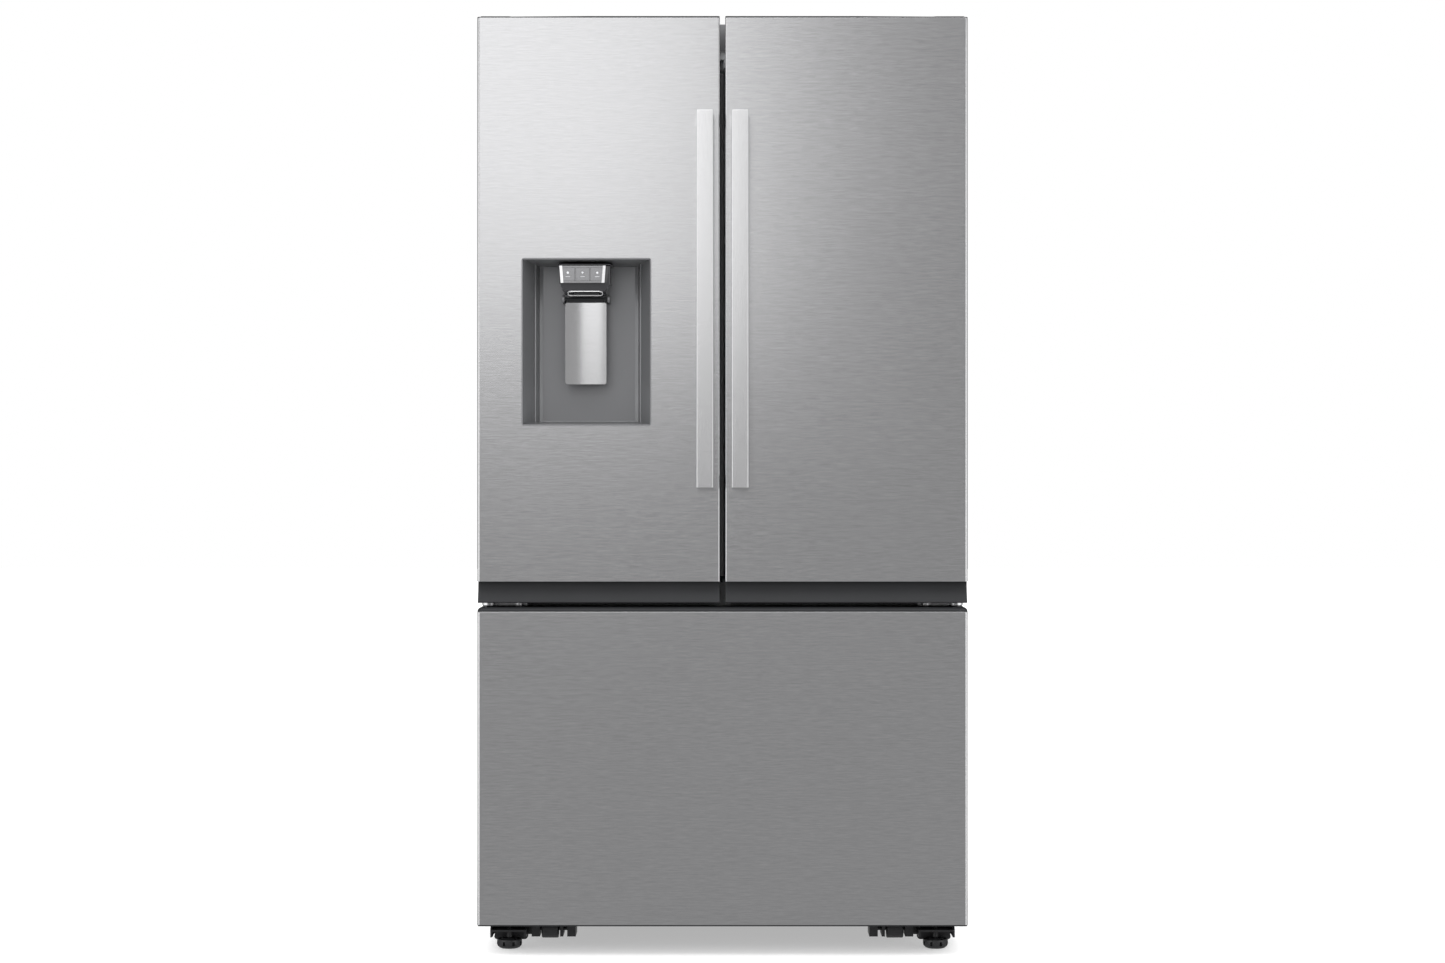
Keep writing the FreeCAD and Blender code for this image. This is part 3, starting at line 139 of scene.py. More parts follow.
FINE_SCRATCHES = (520.0, 34.0)
WIDE_STREAKS = (230.0, 12.0)
SCRATCH_HEIGHT = 0.0002


def drawn_out(along, density):
    """Pattern stretch for scratches: dense across the brushing and sparse along it."""
    stretch = [density[0]] * 3
    stretch[along] = density[1]
    return stretch


def brushed(name, colour, along, roughness, contrast=0.065):
    """Brushed stainless: long fine scratches along one axis, and faint wider streaks among them."""
    finish = Finish(name, colour, metallic=1.0, roughness=roughness)
    fine = finish.noise(drawn_out(along, FINE_SCRATCHES), 1.0, 3.0, 0.7)
    wide = finish.noise(drawn_out(along, WIDE_STREAKS), 1.0)
    cloud = finish.noise((1, 1, 1), 2.2, 1.0)
    streak = fine * 0.8 + wide * 0.2
    dark = tuple(c * (1 - contrast) for c in colour)
    light = tuple(min(1.0, c * (1 + contrast)) for c in colour)
    finish.drive("Base Color", finish.mix(streak.within(0.36, 0.64), dark, light))
    finish.drive("Roughness", streak * 0.10 + cloud * 0.04 + (roughness - 0.07))
    finish.bump(fine, 0.16, SCRATCH_HEIGHT)
    return finish.material


def pick(piece, kind, test):
    """Edit mode on one piece, with the faces, edges or vertices chosen that pass a test."""
    bpy.ops.object.select_all(action="DESELECT")
    piece.select_set(True)
    bpy.context.view_layer.objects.active = piece
    bpy.ops.object.mode_set(mode="EDIT")
    bpy.ops.mesh.select_mode(type=kind)
    bpy.ops.mesh.select_all(action="DESELECT")
    shape = bmesh.from_edit_mesh(piece.data)
    for part in {"VERT": shape.verts, "EDGE": shape.edges, "FACE": shape.faces}[kind]:
        if test(part):
            part.select_set(True)
    shape.select_flush_mode()
    bmesh.update_edit_mesh(piece.data)


def done():
    """Back to object mode."""
    bpy.ops.object.mode_set(mode="OBJECT")


def everything(part):
    """Test that every face, edge or vertex passes."""
    return True


def near(first, second):
    """True for two places less than a tenth of a millimetre apart."""
    return abs(first - second) < 1e-4


def edge_along(edge, axis):
    """True for an edge that runs along an axis, numbered 0 to 2."""
    run = edge.verts[1].co - edge.verts[0].co
    return abs(run[axis]) > 0.999 * run.length > 0


def middle(part):
    """Middle of an edge or a face."""
    return sum((v.co for v in part.verts), Vector()) / len(part.verts)


def to_side(side, *places):
    """Places along X taken to one side of the middle, lowest first."""
    return sorted(side * x for x in places)


def block(name, low, high):
    """Cube between two corners, its place in its mesh."""
    low, high = Vector(low), Vector(high)
    bpy.ops.object.select_all(action="DESELECT")
    bpy.ops.mesh.primitive_cube_add(size=1, location=(low + high) / 2, scale=high - low)
    piece = bpy.context.object
    piece.name = piece.data.name = name
    bpy.ops.object.transform_apply(location=True, rotation=True, scale=True)
    return piece


def soften(piece, test, radius, steps=3):
    """Rounds the edges that pass a test."""
    pick(piece, "EDGE", test)
    bpy.ops.mesh.bevel(offset=radius, segments=steps, affect="EDGES")
    done()
    return piece


def apply(piece, kind, **settings):
    """Adds a modifier and applies it."""
    bpy.ops.object.select_all(action="DESELECT")
    piece.select_set(True)
    bpy.context.view_layer.objects.active = piece
    modifier = piece.modifiers.new(kind.title(), kind)
    for label, value in settings.items():
        setattr(modifier, label, value)
    bpy.ops.object.modifier_apply(modifier=modifier.name)
    return piece


def carve(piece, tool):
    """Takes the tool's shape out of the piece."""
    apply(piece, "BOOLEAN", object=tool, operation="DIFFERENCE", solver="EXACT")
    bpy.data.objects.remove(tool)
    return piece


SHARP = math.radians(35)
SMOOTH = math.radians(32)
FACING = 0.9


def break_edges(piece, width, steps=2):
    """Small rounding on every sharp edge."""
    return apply(piece, "BEVEL", width=width, segments=steps, limit_method="ANGLE", angle_limit=SHARP)


def fit(piece, body, material, slot, *stands_for):
    """Last steps of a piece: smooth faces, its material, its body and what it stands for."""
    bpy.ops.object.select_all(action="DESELECT")
    piece.select_set(True)
    bpy.context.view_layer.objects.active = piece
    bpy.ops.object.shade_smooth_by_angle(angle=SMOOTH)
    apply(piece, "WEIGHTED_NORMAL", keep_sharp=True)
    piece.data.materials.clear()
    piece.data.materials.append(material)
    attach(piece, body)
    if stands_for:
        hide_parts(*stands_for)
    return piece


def paint(material, *names):
    """Gives CAD nodes a material."""
    for name in names:
        nodes[name].data.materials.clear()
        nodes[name].data.materials.append(material)


SHEET = 0.0012
HEM = 0.0009
CENTRE_BEND = 0.003
OUTER_BEND = 0.0055
BEND_STEPS = 8
REBATE_X = 0.03
REBATE_Y = (-0.3715, -0.3)
REBATE_Z = (0.6, 1.8)
RIM_COVER = 0.0004
OPENING_Y = (-0.01, 0.02)
OPENING_CORNER = 0.005
door_steel = brushed("door_steel", (0.60, 0.60, 0.61), 0, 0.20)


def door_sheet(name, node, bends):
    """Thin shell bent round the two vertical front edges, open behind, above and below."""
    low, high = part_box(node)
    piece = block(name, low, high)
    front = low.y
    for x, radius in ((low.x, bends[0]), (high.x, bends[1])):
        soften(piece, lambda e: edge_along(e, 2) and near(middle(e).x, x) and near(middle(e).y, front),
               radius, BEND_STEPS)
    pick(piece, "FACE", lambda f: f.normal.y > FACING or abs(f.normal.z) > FACING)
    bpy.ops.mesh.delete(type="FACE")
    done()
    return apply(piece, "SOLIDIFY", thickness=SHEET, offset=-1, use_even_offset=True)


def hem(piece):
    """Breaks the outer edge along the top of a sheet."""
    top = max(v.co.z for v in piece.data.vertices)
    return soften(piece, lambda e: all(near(v.co.z, top) for v in e.verts)
                  and any(f.normal.y < -0.05 for f in e.link_faces), HEM)


left_sheet = door_sheet("left_door_sheet", "left_door_skin", (OUTER_BEND, CENTRE_BEND))
right_sheet = door_sheet("right_door_sheet", "right_door_skin", (CENTRE_BEND, OUTER_BEND))
housing_low, housing_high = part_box("dispenser_housing")
front_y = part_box("left_door_skin")[0].y
for side, sheet in ((-1, left_sheet), (1, right_sheet)):
    carve(sheet, block("rebate_tool", *zip(to_side(side, 0, REBATE_X), REBATE_Y, REBATE_Z)))
opening = block("opening_tool", (housing_low.x + RIM_COVER, front_y + OPENING_Y[0], housing_low.z),
                (housing_high.x - RIM_COVER, front_y + OPENING_Y[1], housing_high.z))
soften(opening, lambda e: edge_along(e, 1), OPENING_CORNER, 6)
carve(left_sheet, opening)
fit(hem(left_sheet), "left_door", door_steel, "door_steel", "left_door_skin")
fit(hem(right_sheet), "right_door", door_steel, "door_steel", "right_door_skin")

# ------------------------------------------------------------------ drawer sheet
# The freezer drawer's front is the same brushed stainless sheet in one flat width, bent back at
# both ends.

drawer_sheet = door_sheet("freezer_door_sheet", "freezer_door_skin", (OUTER_BEND, OUTER_BEND))
fit(hem(drawer_sheet), "freezer_drawer", door_steel, "door_steel", "freezer_door_skin")

# ------------------------------------------------------------------ end caps
# Dark moulded caps close the doors above and below. The lower cap of an upper door is hollowed in
# front for the fingers that reach the drawer's grip; the drawer's top cap is that grip.

SPARK_HEIGHT = 0.0002


def moulded(name, colour, roughness, grain=0.25, scale=900.0, dust=0.22, **fixed):
    """Moulded or coated surface: fine spark texture, a little unevenness in its sheen, and faint dust."""
    finish = Finish(name, colour, roughness=roughness, **fixed)
    spark = finish.noise((1, 1, 1), scale, 2.0)
    cloud = finish.noise((1, 1, 1), 9.0, 3.0)
    paler = tuple(min(1.0, c * (1 + dust)) for c in colour)
    finish.drive("Base Color", finish.mix(cloud.within(0.35, 0.75), colour, paler))
    finish.drive("Roughness", cloud * 0.12 + spark * 0.05 + (roughness - 0.085))
    finish.bump(spark, grain, SPARK_HEIGHT)
    return finish.material


cap_plastic = moulded("cap_plastic", (0.015, 0.0155, 0.017), 0.45, specular_ior_level=0.22)
for name in ("left_door_caps", "right_door_caps", "freezer_door_caps"):
    paint(cap_plastic, name)

# Behind the centre bend of each door a dark strip closes the foam's edge.
SIDES = ((-1, "left"), (1, "right"))
EDGE_STRIP_X = (0.0058, 0.0122)
EDGE_STRIP_Y = (-0.3722, -0.3702)
EDGE_STRIP_LAP = 0.001
for side, name in SIDES:
    low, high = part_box(f"{name}_door_insulation")
    strip = block(f"{name}_edge_strip", *zip(to_side(side, *EDGE_STRIP_X), EDGE_STRIP_Y,
                                             (low.z - EDGE_STRIP_LAP, high.z + EDGE_STRIP_LAP)))
    break_edges(strip, 0.0004)
    fit(strip, f"{name}_door", cap_plastic, "dark_plastic")

# ------------------------------------------------------------------ handles
# Each handle is a flat stainless bar on two end posts, brushed along its length, with its corners
# broken to a small radius.

handle_steel = brushed("handle_steel", (0.80, 0.80, 0.81), 2, 0.22, 0.02)
BAR_DEPTH = 0.013
POST_HEIGHT = 0.024
HANDLE_EDGE = 0.0016


def bar_handle(name, node):
    """Flat bar whose back is drawn out into a post at each end."""
    low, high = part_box(node)
    piece = block(name, low, (high.x, low.y + BAR_DEPTH, high.z))
    posts = (low.z + POST_HEIGHT, high.z - POST_HEIGHT)
    for z in posts:
        pick(piece, "FACE", lambda f: f.normal.y > FACING)
        bpy.ops.mesh.bisect(plane_co=(0, 0, z), plane_no=(0, 0, 1))
        done()
    pick(piece, "FACE", lambda f: f.normal.y > FACING and not posts[0] < middle(f).z < posts[1])
    bpy.ops.mesh.extrude_region_move(TRANSFORM_OT_translate={"value": (0, high.y - low.y - BAR_DEPTH, 0)})
    done()
    return piece


def outer_edge(edge, front):
    """True for an edge at the front, from front to back, or along a corner of the bar."""
    corner = len(edge.link_faces) == 2 and edge.calc_face_angle(0) > math.radians(60)
    return near(middle(edge).y, front) or edge_along(edge, 1) or (edge_along(edge, 2) and corner)


for side, name in SIDES:
    bar = bar_handle(f"{name}_bar_handle", f"{name}_handle")
    bar_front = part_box(f"{name}_handle")[0].y
    soften(bar, lambda e: outer_edge(e, bar_front), HANDLE_EDGE, 4)
    fit(bar, f"{name}_door", handle_steel, "handle_steel", f"{name}_handle")

# ------------------------------------------------------------------ cabinet outside
# The cabinet's sides and top are one folded sheet, painted dark grey with a fine pebble texture;
# the back is a plain zinc-coated sheet, and the hinge covers are moulded.

side_paint = moulded("side_paint", (0.150, 0.152, 0.157), 0.44, 0.55, 420.0, 0.05)
zinc = Finish("zinc", (0.42, 0.43, 0.44), metallic=0.9, roughness=0.42)
spangle = zinc.node("TexVoronoi", {}, {"Vector": zinc.place(), "Scale": 55.0}, "Color")
grey = zinc.node("RGBToBW", {}, {"Color": spangle})
zinc.drive("Base Color", zinc.mix(grey, (0.36, 0.37, 0.38), (0.50, 0.51, 0.52)))
zinc.drive("Roughness", grey * 0.16 + 0.34)
zinc.bump(grey, 0.05, 0.0003)
paint(side_paint, "cabinet_wrapper", "cross_rail", "mullion")
paint(zinc.material, "back_panel", "machine_cover", "drawer_frame", "rail_middles", "freezer_rails")
paint(cap_plastic, "hinge_covers")

# ------------------------------------------------------------------ undercarriage
# Black steel brackets under the front corners hold a threaded foot and a roller each; the foot's
# round disc has slots for a wrench. Rear rollers carry the back.

black_paint = moulded("black_paint", (0.014, 0.014, 0.016), 0.36, 0.2, 700.0)
foot_black = moulded("foot_black", (0.018, 0.018, 0.020), 0.40, 0.25, 800.0)
paint(black_paint, "base_frame", "leg_brackets", "compressor", "condenser")
paint(foot_black, "front_rollers", "rear_rollers")

ROUND_SIDES = 32
CORNER_STEPS = 5
FACING_BACK = (math.pi / 2, 0, 0)


def resize(factors, centre):
    """Resizes what is chosen about a point."""
    bpy.ops.transform.resize(value=factors, center_override=centre)


def shift(piece, test, move):
    """Moves the corners that pass a test."""
    pick(piece, "VERT", test)
    bpy.ops.transform.translate(value=move)
    done()
    return piece


def set_in_place(name, size):
    """Names and sizes the primitive just added, and puts its place in its mesh."""
    piece = bpy.context.object
    piece.name = piece.data.name = name
    piece.scale = size
    bpy.ops.object.transform_apply(location=True, rotation=True, scale=True)
    return piece


def drawn(name, low, high, axis, corner, stages, through=False):
    """Rounded rectangle drawn up or back. Each stage is a place on the axis and how far its sides
    stand in. With no corner it is round. A through shape is a closed frame, any other is solid."""
    across, up = [i for i in range(3) if i != axis]
    size = [high[across] - low[across], high[up] - low[up]]
    centre = [(high[i] + low[i]) / 2 for i in range(3)]
    reach, inset = stages[0]
    centre[axis] = reach
    turn = FACING_BACK if axis == 1 else (0, 0, 0)
    bpy.ops.object.select_all(action="DESELECT")
    if corner:
        bpy.ops.mesh.primitive_plane_add(size=1, location=centre, rotation=turn)
    else:
        bpy.ops.mesh.primitive_circle_add(radius=0.5, vertices=ROUND_SIDES, fill_type="NGON",
                                          location=centre, rotation=turn)
    piece = set_in_place(name, (size[0] - 2 * inset, size[1] - 2 * inset, 1))
    if corner:
        pick(piece, "VERT", everything)
        bpy.ops.mesh.bevel(offset=corner, segments=CORNER_STEPS, affect="VERTICES")
        done()
    pick(piece, "FACE", everything)
    for next_reach, next_inset in stages[1:]:
        move = [0, 0, 0]
        move[axis] = next_reach - reach
        bpy.ops.mesh.extrude_region_move(TRANSFORM_OT_translate={"value": move})
        factors = [1, 1, 1]
        factors[across] = (size[0] - 2 * next_inset) / (size[0] - 2 * inset)
        factors[up] = (size[1] - 2 * next_inset) / (size[1] - 2 * inset)
        resize(factors, centre)
        reach, inset = next_reach, next_inset
    done()
    if through:
        pick(piece, "FACE", lambda f: len(f.verts) > 4)
        bpy.ops.mesh.delete(type="FACE")
        done()
        pick(piece, "EDGE", lambda e: len(e.link_faces) == 1)
        bpy.ops.mesh.bridge_edge_loops()
        done()
    pick(piece, "FACE", everything)
    bpy.ops.mesh.normals_make_consistent(inside=False)
    done()
    return piece


def round_piece(name, centre, radius, axis, stages):
    """Round piece about an axis through a point, from stages of place and inset."""
    low = [c - radius for c in centre]
    high = [c + radius for c in centre]
    return drawn(name, low, high, axis, 0, stages)


def join(*pieces):
    """Several pieces as one."""
    bpy.ops.object.select_all(action="DESELECT")
    for piece in pieces:
        piece.select_set(True)
    bpy.context.view_layer.objects.active = pieces[0]
    bpy.ops.object.join()
    return pieces[0]


FOOT_STAGES = ((0.0, 0.0085), (0.0015, 0.0045), (0.005, 0.0010), (0.009, 0.0), (0.0160, 0.0002),
               (0.0176, 0.0012), (0.0180, 0.0030), (0.0172, 0.0045), (0.0172, 0.0085), (0.0190, 0.0095),
               (0.0205, 0.0187), (0.0520, 0.0187))
SLOT_HALF = (0.03, 0.0026)
SLOT_Z = (0.0055, 0.0135)
SLOT_TURNS = (22.5, 67.5, 112.5, 157.5)
CORE_RADIUS = 0.017
CORE_STAGES = ((0.005, 0), (0.014, 0))
FOOT_PLATE_HALF = 0.032
FOOT_PLATE_Y = (-0.2712, -0.2682)
FOOT_PLATE_Z = (0.012, 0.046)
FOOT_PLATE_OFF = 0.0005
FOOT_PLATE_LEAN = 0.005
for side, name in SIDES:
    low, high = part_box(f"{name}_foot")
    centre = (low + high) / 2
    foot = round_piece(f"{name}_levelling_foot", centre, (high.x - low.x) / 2, 2, FOOT_STAGES)
    for turn in SLOT_TURNS:
        slot = block("slot_tool", (centre.x - SLOT_HALF[0], centre.y - SLOT_HALF[1], SLOT_Z[0]),
                     (centre.x + SLOT_HALF[0], centre.y + SLOT_HALF[1], SLOT_Z[1]))
        pick(slot, "FACE", everything)
        bpy.ops.transform.rotate(value=math.radians(turn), orient_axis="Z", center_override=centre)
        done()
        core = round_piece("slot_core", centre, CORE_RADIUS, 2, CORE_STAGES)
        carve(slot, core)
        carve(foot, slot)
    fit(foot, f"{name}_foot", foot_black, "foot_plastic", f"{name}_foot")
    x = centre.x - side * FOOT_PLATE_OFF
    plate = block(f"{name}_foot_plate", *zip((x - FOOT_PLATE_HALF, x + FOOT_PLATE_HALF),
                                             FOOT_PLATE_Y, FOOT_PLATE_Z))
    shift(plate, lambda v: near(v.co.z, FOOT_PLATE_Z[1]), (-side * FOOT_PLATE_LEAN, 0, 0))
    soften(plate, lambda e: edge_along(e, 1) and near(middle(e).z, FOOT_PLATE_Z[0]), 0.006, 5)
    break_edges(plate, 0.0006)
    fit(plate, "cabinet", black_paint, "chassis_black")

# ------------------------------------------------------------------ hinges
# Zinc-plated steel hinges: a plate on the cabinet top, and a bracket on the centre rail whose arm
# shows between the doors and the drawer, with its bolt and the washer under the door's pin.

plated = moulded("plated_steel", (0.78, 0.78, 0.79), 0.30, 0.1, 600.0, 0.06, metallic=0.85)
paint(plated, "door_hinges")
HINGE_Y = -0.335
HINGE_DISCS = (("washer", 0.4375, 0.0125), ("bolt", 0.3810, 0.0076))
DISC_STAGES = ((0.6476, 0.0010), (0.6484, 0), (0.6538, 0), (0.6546, 0.0012))
for side, name in SIDES:
    for part, x, radius in HINGE_DISCS:
        disc = round_piece(f"{name}_hinge_{part}", (side * x, HINGE_Y, 0), radius, 2, DISC_STAGES)
        fit(disc, "cabinet", plated, "zinc_steel")

# ------------------------------------------------------------------ dispenser recess
# One dark moulded shell with a thin rim. Its side walls step in once on the way to a flat back
# panel, which a soft fillet joins to the walls; two lugs at the top hold the paddle's rod.

recess_dark = moulded("recess_dark", (0.180, 0.182, 0.189), 0.35, 0.05, 1000.0, 0.05,
                      ior=1.8, metallic=0.5)
RIM = 0.0026
# Depth, half width, floor and ceiling of each step on the way in.
RECESS_STAGES = ((0.003, 0.1174, 0.9863, 1.2903), (0.066, 0.0990, 0.9900, 1.2875),
                 (0.067, 0.0974, 0.9904, 1.2873), (0.1096, 0.0930, 0.9915, 1.2860),
                 (0.112, 0.0866, 0.9930, 1.2850))
BACK_FILLET = 0.0010
SHELL = 0.0022
LUG_X = 0.0425
LUG_HALF = 0.002
LUG_FRONT = -0.340
LUG_Z = (1.215, 1.229)
LUG_ROUND = 0.006
recess_x = (housing_low.x + housing_high.x) / 2
recess_z = (housing_low.z + housing_high.z) / 2
recess_y = housing_low.y
bpy.ops.object.select_all(action="DESELECT")
bpy.ops.mesh.primitive_plane_add(size=1, location=(recess_x, recess_y, recess_z), rotation=FACING_BACK)
recess = set_in_place("dispenser_recess", (housing_high.x - housing_low.x, housing_high.z - housing_low.z, 1))
pick(recess, "FACE", everything)
bpy.ops.mesh.inset(thickness=RIM)
half = (housing_high.x - housing_low.x) / 2 - RIM
low_z, high_z, depth = housing_low.z + RIM, housing_high.z - RIM, 0.0
for new_depth, new_half, new_low, new_high in RECESS_STAGES:
    bpy.ops.mesh.extrude_region_move(TRANSFORM_OT_translate={"value": (0, new_depth - depth, 0)})
    resize((new_half / half, 1, (new_high - new_low) / (high_z - low_z)),
           (recess_x, 0, (low_z + high_z) / 2))
    bpy.ops.transform.translate(value=(0, 0, (new_low + new_high - low_z - high_z) / 2))
    depth, half, low_z, high_z = new_depth, new_half, new_low, new_high
done()
recess_back = recess_y + depth
soften(recess, lambda e: all(near(v.co.y, recess_back) for v in e.verts)
       or not (edge_along(e, 0) or edge_along(e, 2)), BACK_FILLET, 6)
apply(recess, "SOLIDIFY", thickness=SHELL, offset=-1)
fit(recess, "left_door", recess_dark, "recess_plastic", "dispenser_housing")

paddle_low, paddle_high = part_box("dispenser_paddle")
plate_x = (paddle_low.x + paddle_high.x) / 2
for side, name in SIDES:
    x = plate_x + side * LUG_X
    lug = block(f"{name}_paddle_lug", (x - LUG_HALF, LUG_FRONT, LUG_Z[0]),
                (x + LUG_HALF, recess_back + 0.001, LUG_Z[1]))
    soften(lug, lambda e: edge_along(e, 0) and near(middle(e).y, LUG_FRONT), LUG_ROUND, 5)
    fit(lug, "left_door", recess_dark, "recess_plastic")

# ------------------------------------------------------------------ dispenser paddle
# A satin stainless plate, a little hollow across its width, that hangs from a cross rod; its
# corners are rounded and its edge is broken.

paddle_steel = brushed("paddle_steel", (0.74, 0.74, 0.75), 0, 0.20, 0.015)
PLATE_HALF = 0.0384
PLATE_FRONT = -0.337
PLATE_THICK = 0.003
PLATE_HOLLOW = 0.0040
PLATE_COLUMNS = 12
PLATE_TOP = 1.2150
PLATE_CORNER = 0.004
ROD_RADIUS = 0.003
ROD_LENGTH = 0.088
ROD_PLACE = (plate_x, -0.335, 1.222)
NECK_HALF = 0.034
NECK_Y = (-0.3365, -0.3345)
NECK_Z = (1.206, 1.222)
plate = block("dispenser_plate", (plate_x - PLATE_HALF, PLATE_FRONT, paddle_low.z),
              (plate_x + PLATE_HALF, PLATE_FRONT + PLATE_THICK, PLATE_TOP))
soften(plate, lambda e: edge_along(e, 1), PLATE_CORNER, 5)
columns = [plate_x + PLATE_HALF * (2 * i / PLATE_COLUMNS - 1) for i in range(1, PLATE_COLUMNS)]
for x in columns:
    pick(plate, "FACE", everything)
    bpy.ops.mesh.bisect(plane_co=(x, 0, 0), plane_no=(1, 0, 0))
    done()
for x in sorted({round(v.co.x, 5) for v in plate.data.vertices}):
    rise = -PLATE_HOLLOW * ((x - plate_x) / PLATE_HALF) ** 2
    shift(plate, lambda v: abs(v.co.x - x) < 2e-5, (0, rise, 0))
break_edges(plate, 0.0004)
fit(plate, "paddle", paddle_steel, "paddle_steel", "dispenser_paddle")
bpy.ops.object.select_all(action="DESELECT")
bpy.ops.mesh.primitive_cylinder_add(vertices=24, radius=ROD_RADIUS, depth=ROD_LENGTH,
                                    location=ROD_PLACE, rotation=(0, math.pi / 2, 0))
rod = break_edges(set_in_place("paddle_rod", (1, 1, 1)), 0.0005)
fit(rod, "paddle", cap_plastic, "dark_plastic")
neck = block("paddle_neck", *zip((plate_x - NECK_HALF, plate_x + NECK_HALF), NECK_Y, NECK_Z))
fit(neck, "paddle", cap_plastic, "dark_plastic")

# ------------------------------------------------------------------ dispenser controls and outlet
# A black glossy casing carries a satin strip with three flat keys. Its two ends are chamfered and made of a
# brighter steel than the strip, a painted highlight.
# Below, the casing tapers to an outlet with a polished ring.

nozzle_black = moulded("nozzle_black", (0.020, 0.020, 0.022), 0.16, 0.03, 900.0,
                       coat_weight=0.5, coat_roughness=0.12)
control_steel = brushed("control_steel", (0.34, 0.34, 0.35), 0, 0.24, 0.02)
ring_chrome = moulded("ring_chrome", (0.80, 0.80, 0.81), 0.26, 0.02, 900.0, 0.03, metallic=0.55)
legend_pale = moulded("legend_pale", (0.60, 0.61, 0.63), 0.4, 0.02, 900.0, 0.03)
panel_low, panel_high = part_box("dispenser_panel")
nozzle_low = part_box("dispenser_nozzle")[0]
CASING_SIDE = 0.009
CASING_TOP = 1.2812
CASING_EDGE = 0.0012
BACK_GAP = 0.0005
SPOUT_BACK = -0.343
SPOUT_TAPER = (0.82, 0.90, 1)
SPOUT_CENTRE = (-0.003, -0.366)
SPOUT_LIP = -0.37
LIP_RISE = 0.0065
SPOUT_CORNER = 0.004
CHUTE = ((-0.280, -0.3752, 1.22), (-0.228, -0.3493, 1.266))
KEY_WALL = 0.003
casing_x = (panel_low.x, panel_high.x + CASING_SIDE)
casing_mid = (casing_x[0] + casing_x[1]) / 2
casing_back = recess_back - BACK_GAP
casing = block("outlet_casing", *zip(casing_x, (panel_high.y, casing_back), (panel_low.z, CASING_TOP)))
pick(casing, "FACE", everything)
bpy.ops.mesh.bisect(plane_co=(0, SPOUT_BACK, 0), plane_no=(0, 1, 0))
done()
pick(casing, "FACE", lambda f: f.normal.z < -FACING and middle(f).y < SPOUT_BACK)
bpy.ops.mesh.extrude_region_move(TRANSFORM_OT_translate={"value": (0, 0, nozzle_low.z - panel_low.z)})
resize(SPOUT_TAPER, (casing_mid + SPOUT_CENTRE[0], SPOUT_CENTRE[1], 0))
done()
shift(casing, lambda v: near(v.co.z, nozzle_low.z) and v.co.y < SPOUT_LIP, (0, 0, LIP_RISE))
soften(casing, lambda e: abs((e.verts[1].co - e.verts[0].co).z) > 0.015 and middle(e).y < -0.345,
       SPOUT_CORNER, 4)
chute = block("chute_tool", *CHUTE)
soften(chute, lambda e: edge_along(e, 2), 0.006, 4)
carve(casing, chute)
keys_tool = block("keys_tool", (panel_low.x + KEY_WALL, panel_high.y - 0.001, panel_low.z + KEY_WALL),
                  (panel_high.x - KEY_WALL, panel_high.y + 0.003, panel_high.z - KEY_WALL))
carve(casing, keys_tool)
break_edges(casing, CASING_EDGE, 3)
fit(casing, "left_door", nozzle_black, "nozzle_plastic", "dispenser_nozzle")

HOOD_REACH = 0.003
HOOD_Z = (1.2815, 1.2846)
HOOD_CORNER = 0.010
hood = block("casing_hood", *zip((casing_x[0] - HOOD_REACH, casing_x[1] + HOOD_REACH),
                                 (nozzle_low.y, casing_back), HOOD_Z))
soften(hood, lambda e: edge_along(e, 2), HOOD_CORNER, 6)
break_edges(hood, CASING_EDGE, 3)
fit(hood, "left_door", nozzle_black, "nozzle_plastic")

RING_SIZE = (0.066, 0.024, 1)
RING_PLACE = (casing_mid - 0.0002, -0.3680, 1.2305)
RING_TILT = math.radians(163)
RING_CORNER = 0.008
RING_WALL = 0.0018
bpy.ops.object.select_all(action="DESELECT")
bpy.ops.mesh.primitive_plane_add(size=1, location=RING_PLACE, rotation=(RING_TILT, 0, 0))
ring = set_in_place("outlet_ring", RING_SIZE)
pick(ring, "VERT", everything)
bpy.ops.mesh.bevel(offset=RING_CORNER, segments=6, affect="VERTICES")
bpy.ops.mesh.select_mode(type="FACE")
bpy.ops.mesh.select_all(action="SELECT")
bpy.ops.mesh.inset(thickness=RING_WALL)
bpy.ops.mesh.delete(type="FACE")
done()
apply(ring, "SOLIDIFY", thickness=RING_WALL, offset=0)
break_edges(ring, 0.0006, 3)
fit(ring, "left_door", ring_chrome, "nozzle_plastic")

paint(control_steel, "dispenser_key_1", "dispenser_key_2", "dispenser_key_3")
STRIP_TAPER = (0.945, 1, 1)
strip = block("control_strip", panel_low, panel_high)
pick(strip, "FACE", lambda f: f.normal.z < -FACING)
resize(STRIP_TAPER, (recess_x - 0.008, 0, 0))
done()

# Each end is chamfered back at its outer side, and leans inwards with the strip's taper. The ends take the
# paddle's brighter steel instead of the strip's own, so their chamfers shine with a painted highlight on top
# of their real reflection.
END_WIDTH = 0.0052
END_Y = (-0.3888, -0.3868)
END_LEAN = 0.0024
END_CHAMFER = 0.0018
for side, name in SIDES:
    outer = panel_low.x if side < 0 else panel_high.x
    end = block(f"{name}_strip_end", *zip(sorted((outer, outer - side * END_WIDTH)), END_Y,
                                          (panel_low.z, panel_high.z)))
    shift(end, lambda v: near(v.co.y, END_Y[0]) and near(v.co.x, outer), (0, END_CHAMFER, 0))
    shift(end, lambda v: near(v.co.z, panel_low.z), (-side * END_LEAN, 0, 0))
    fit(break_edges(end, 0.0002), "left_door", paddle_steel, "control_satin")

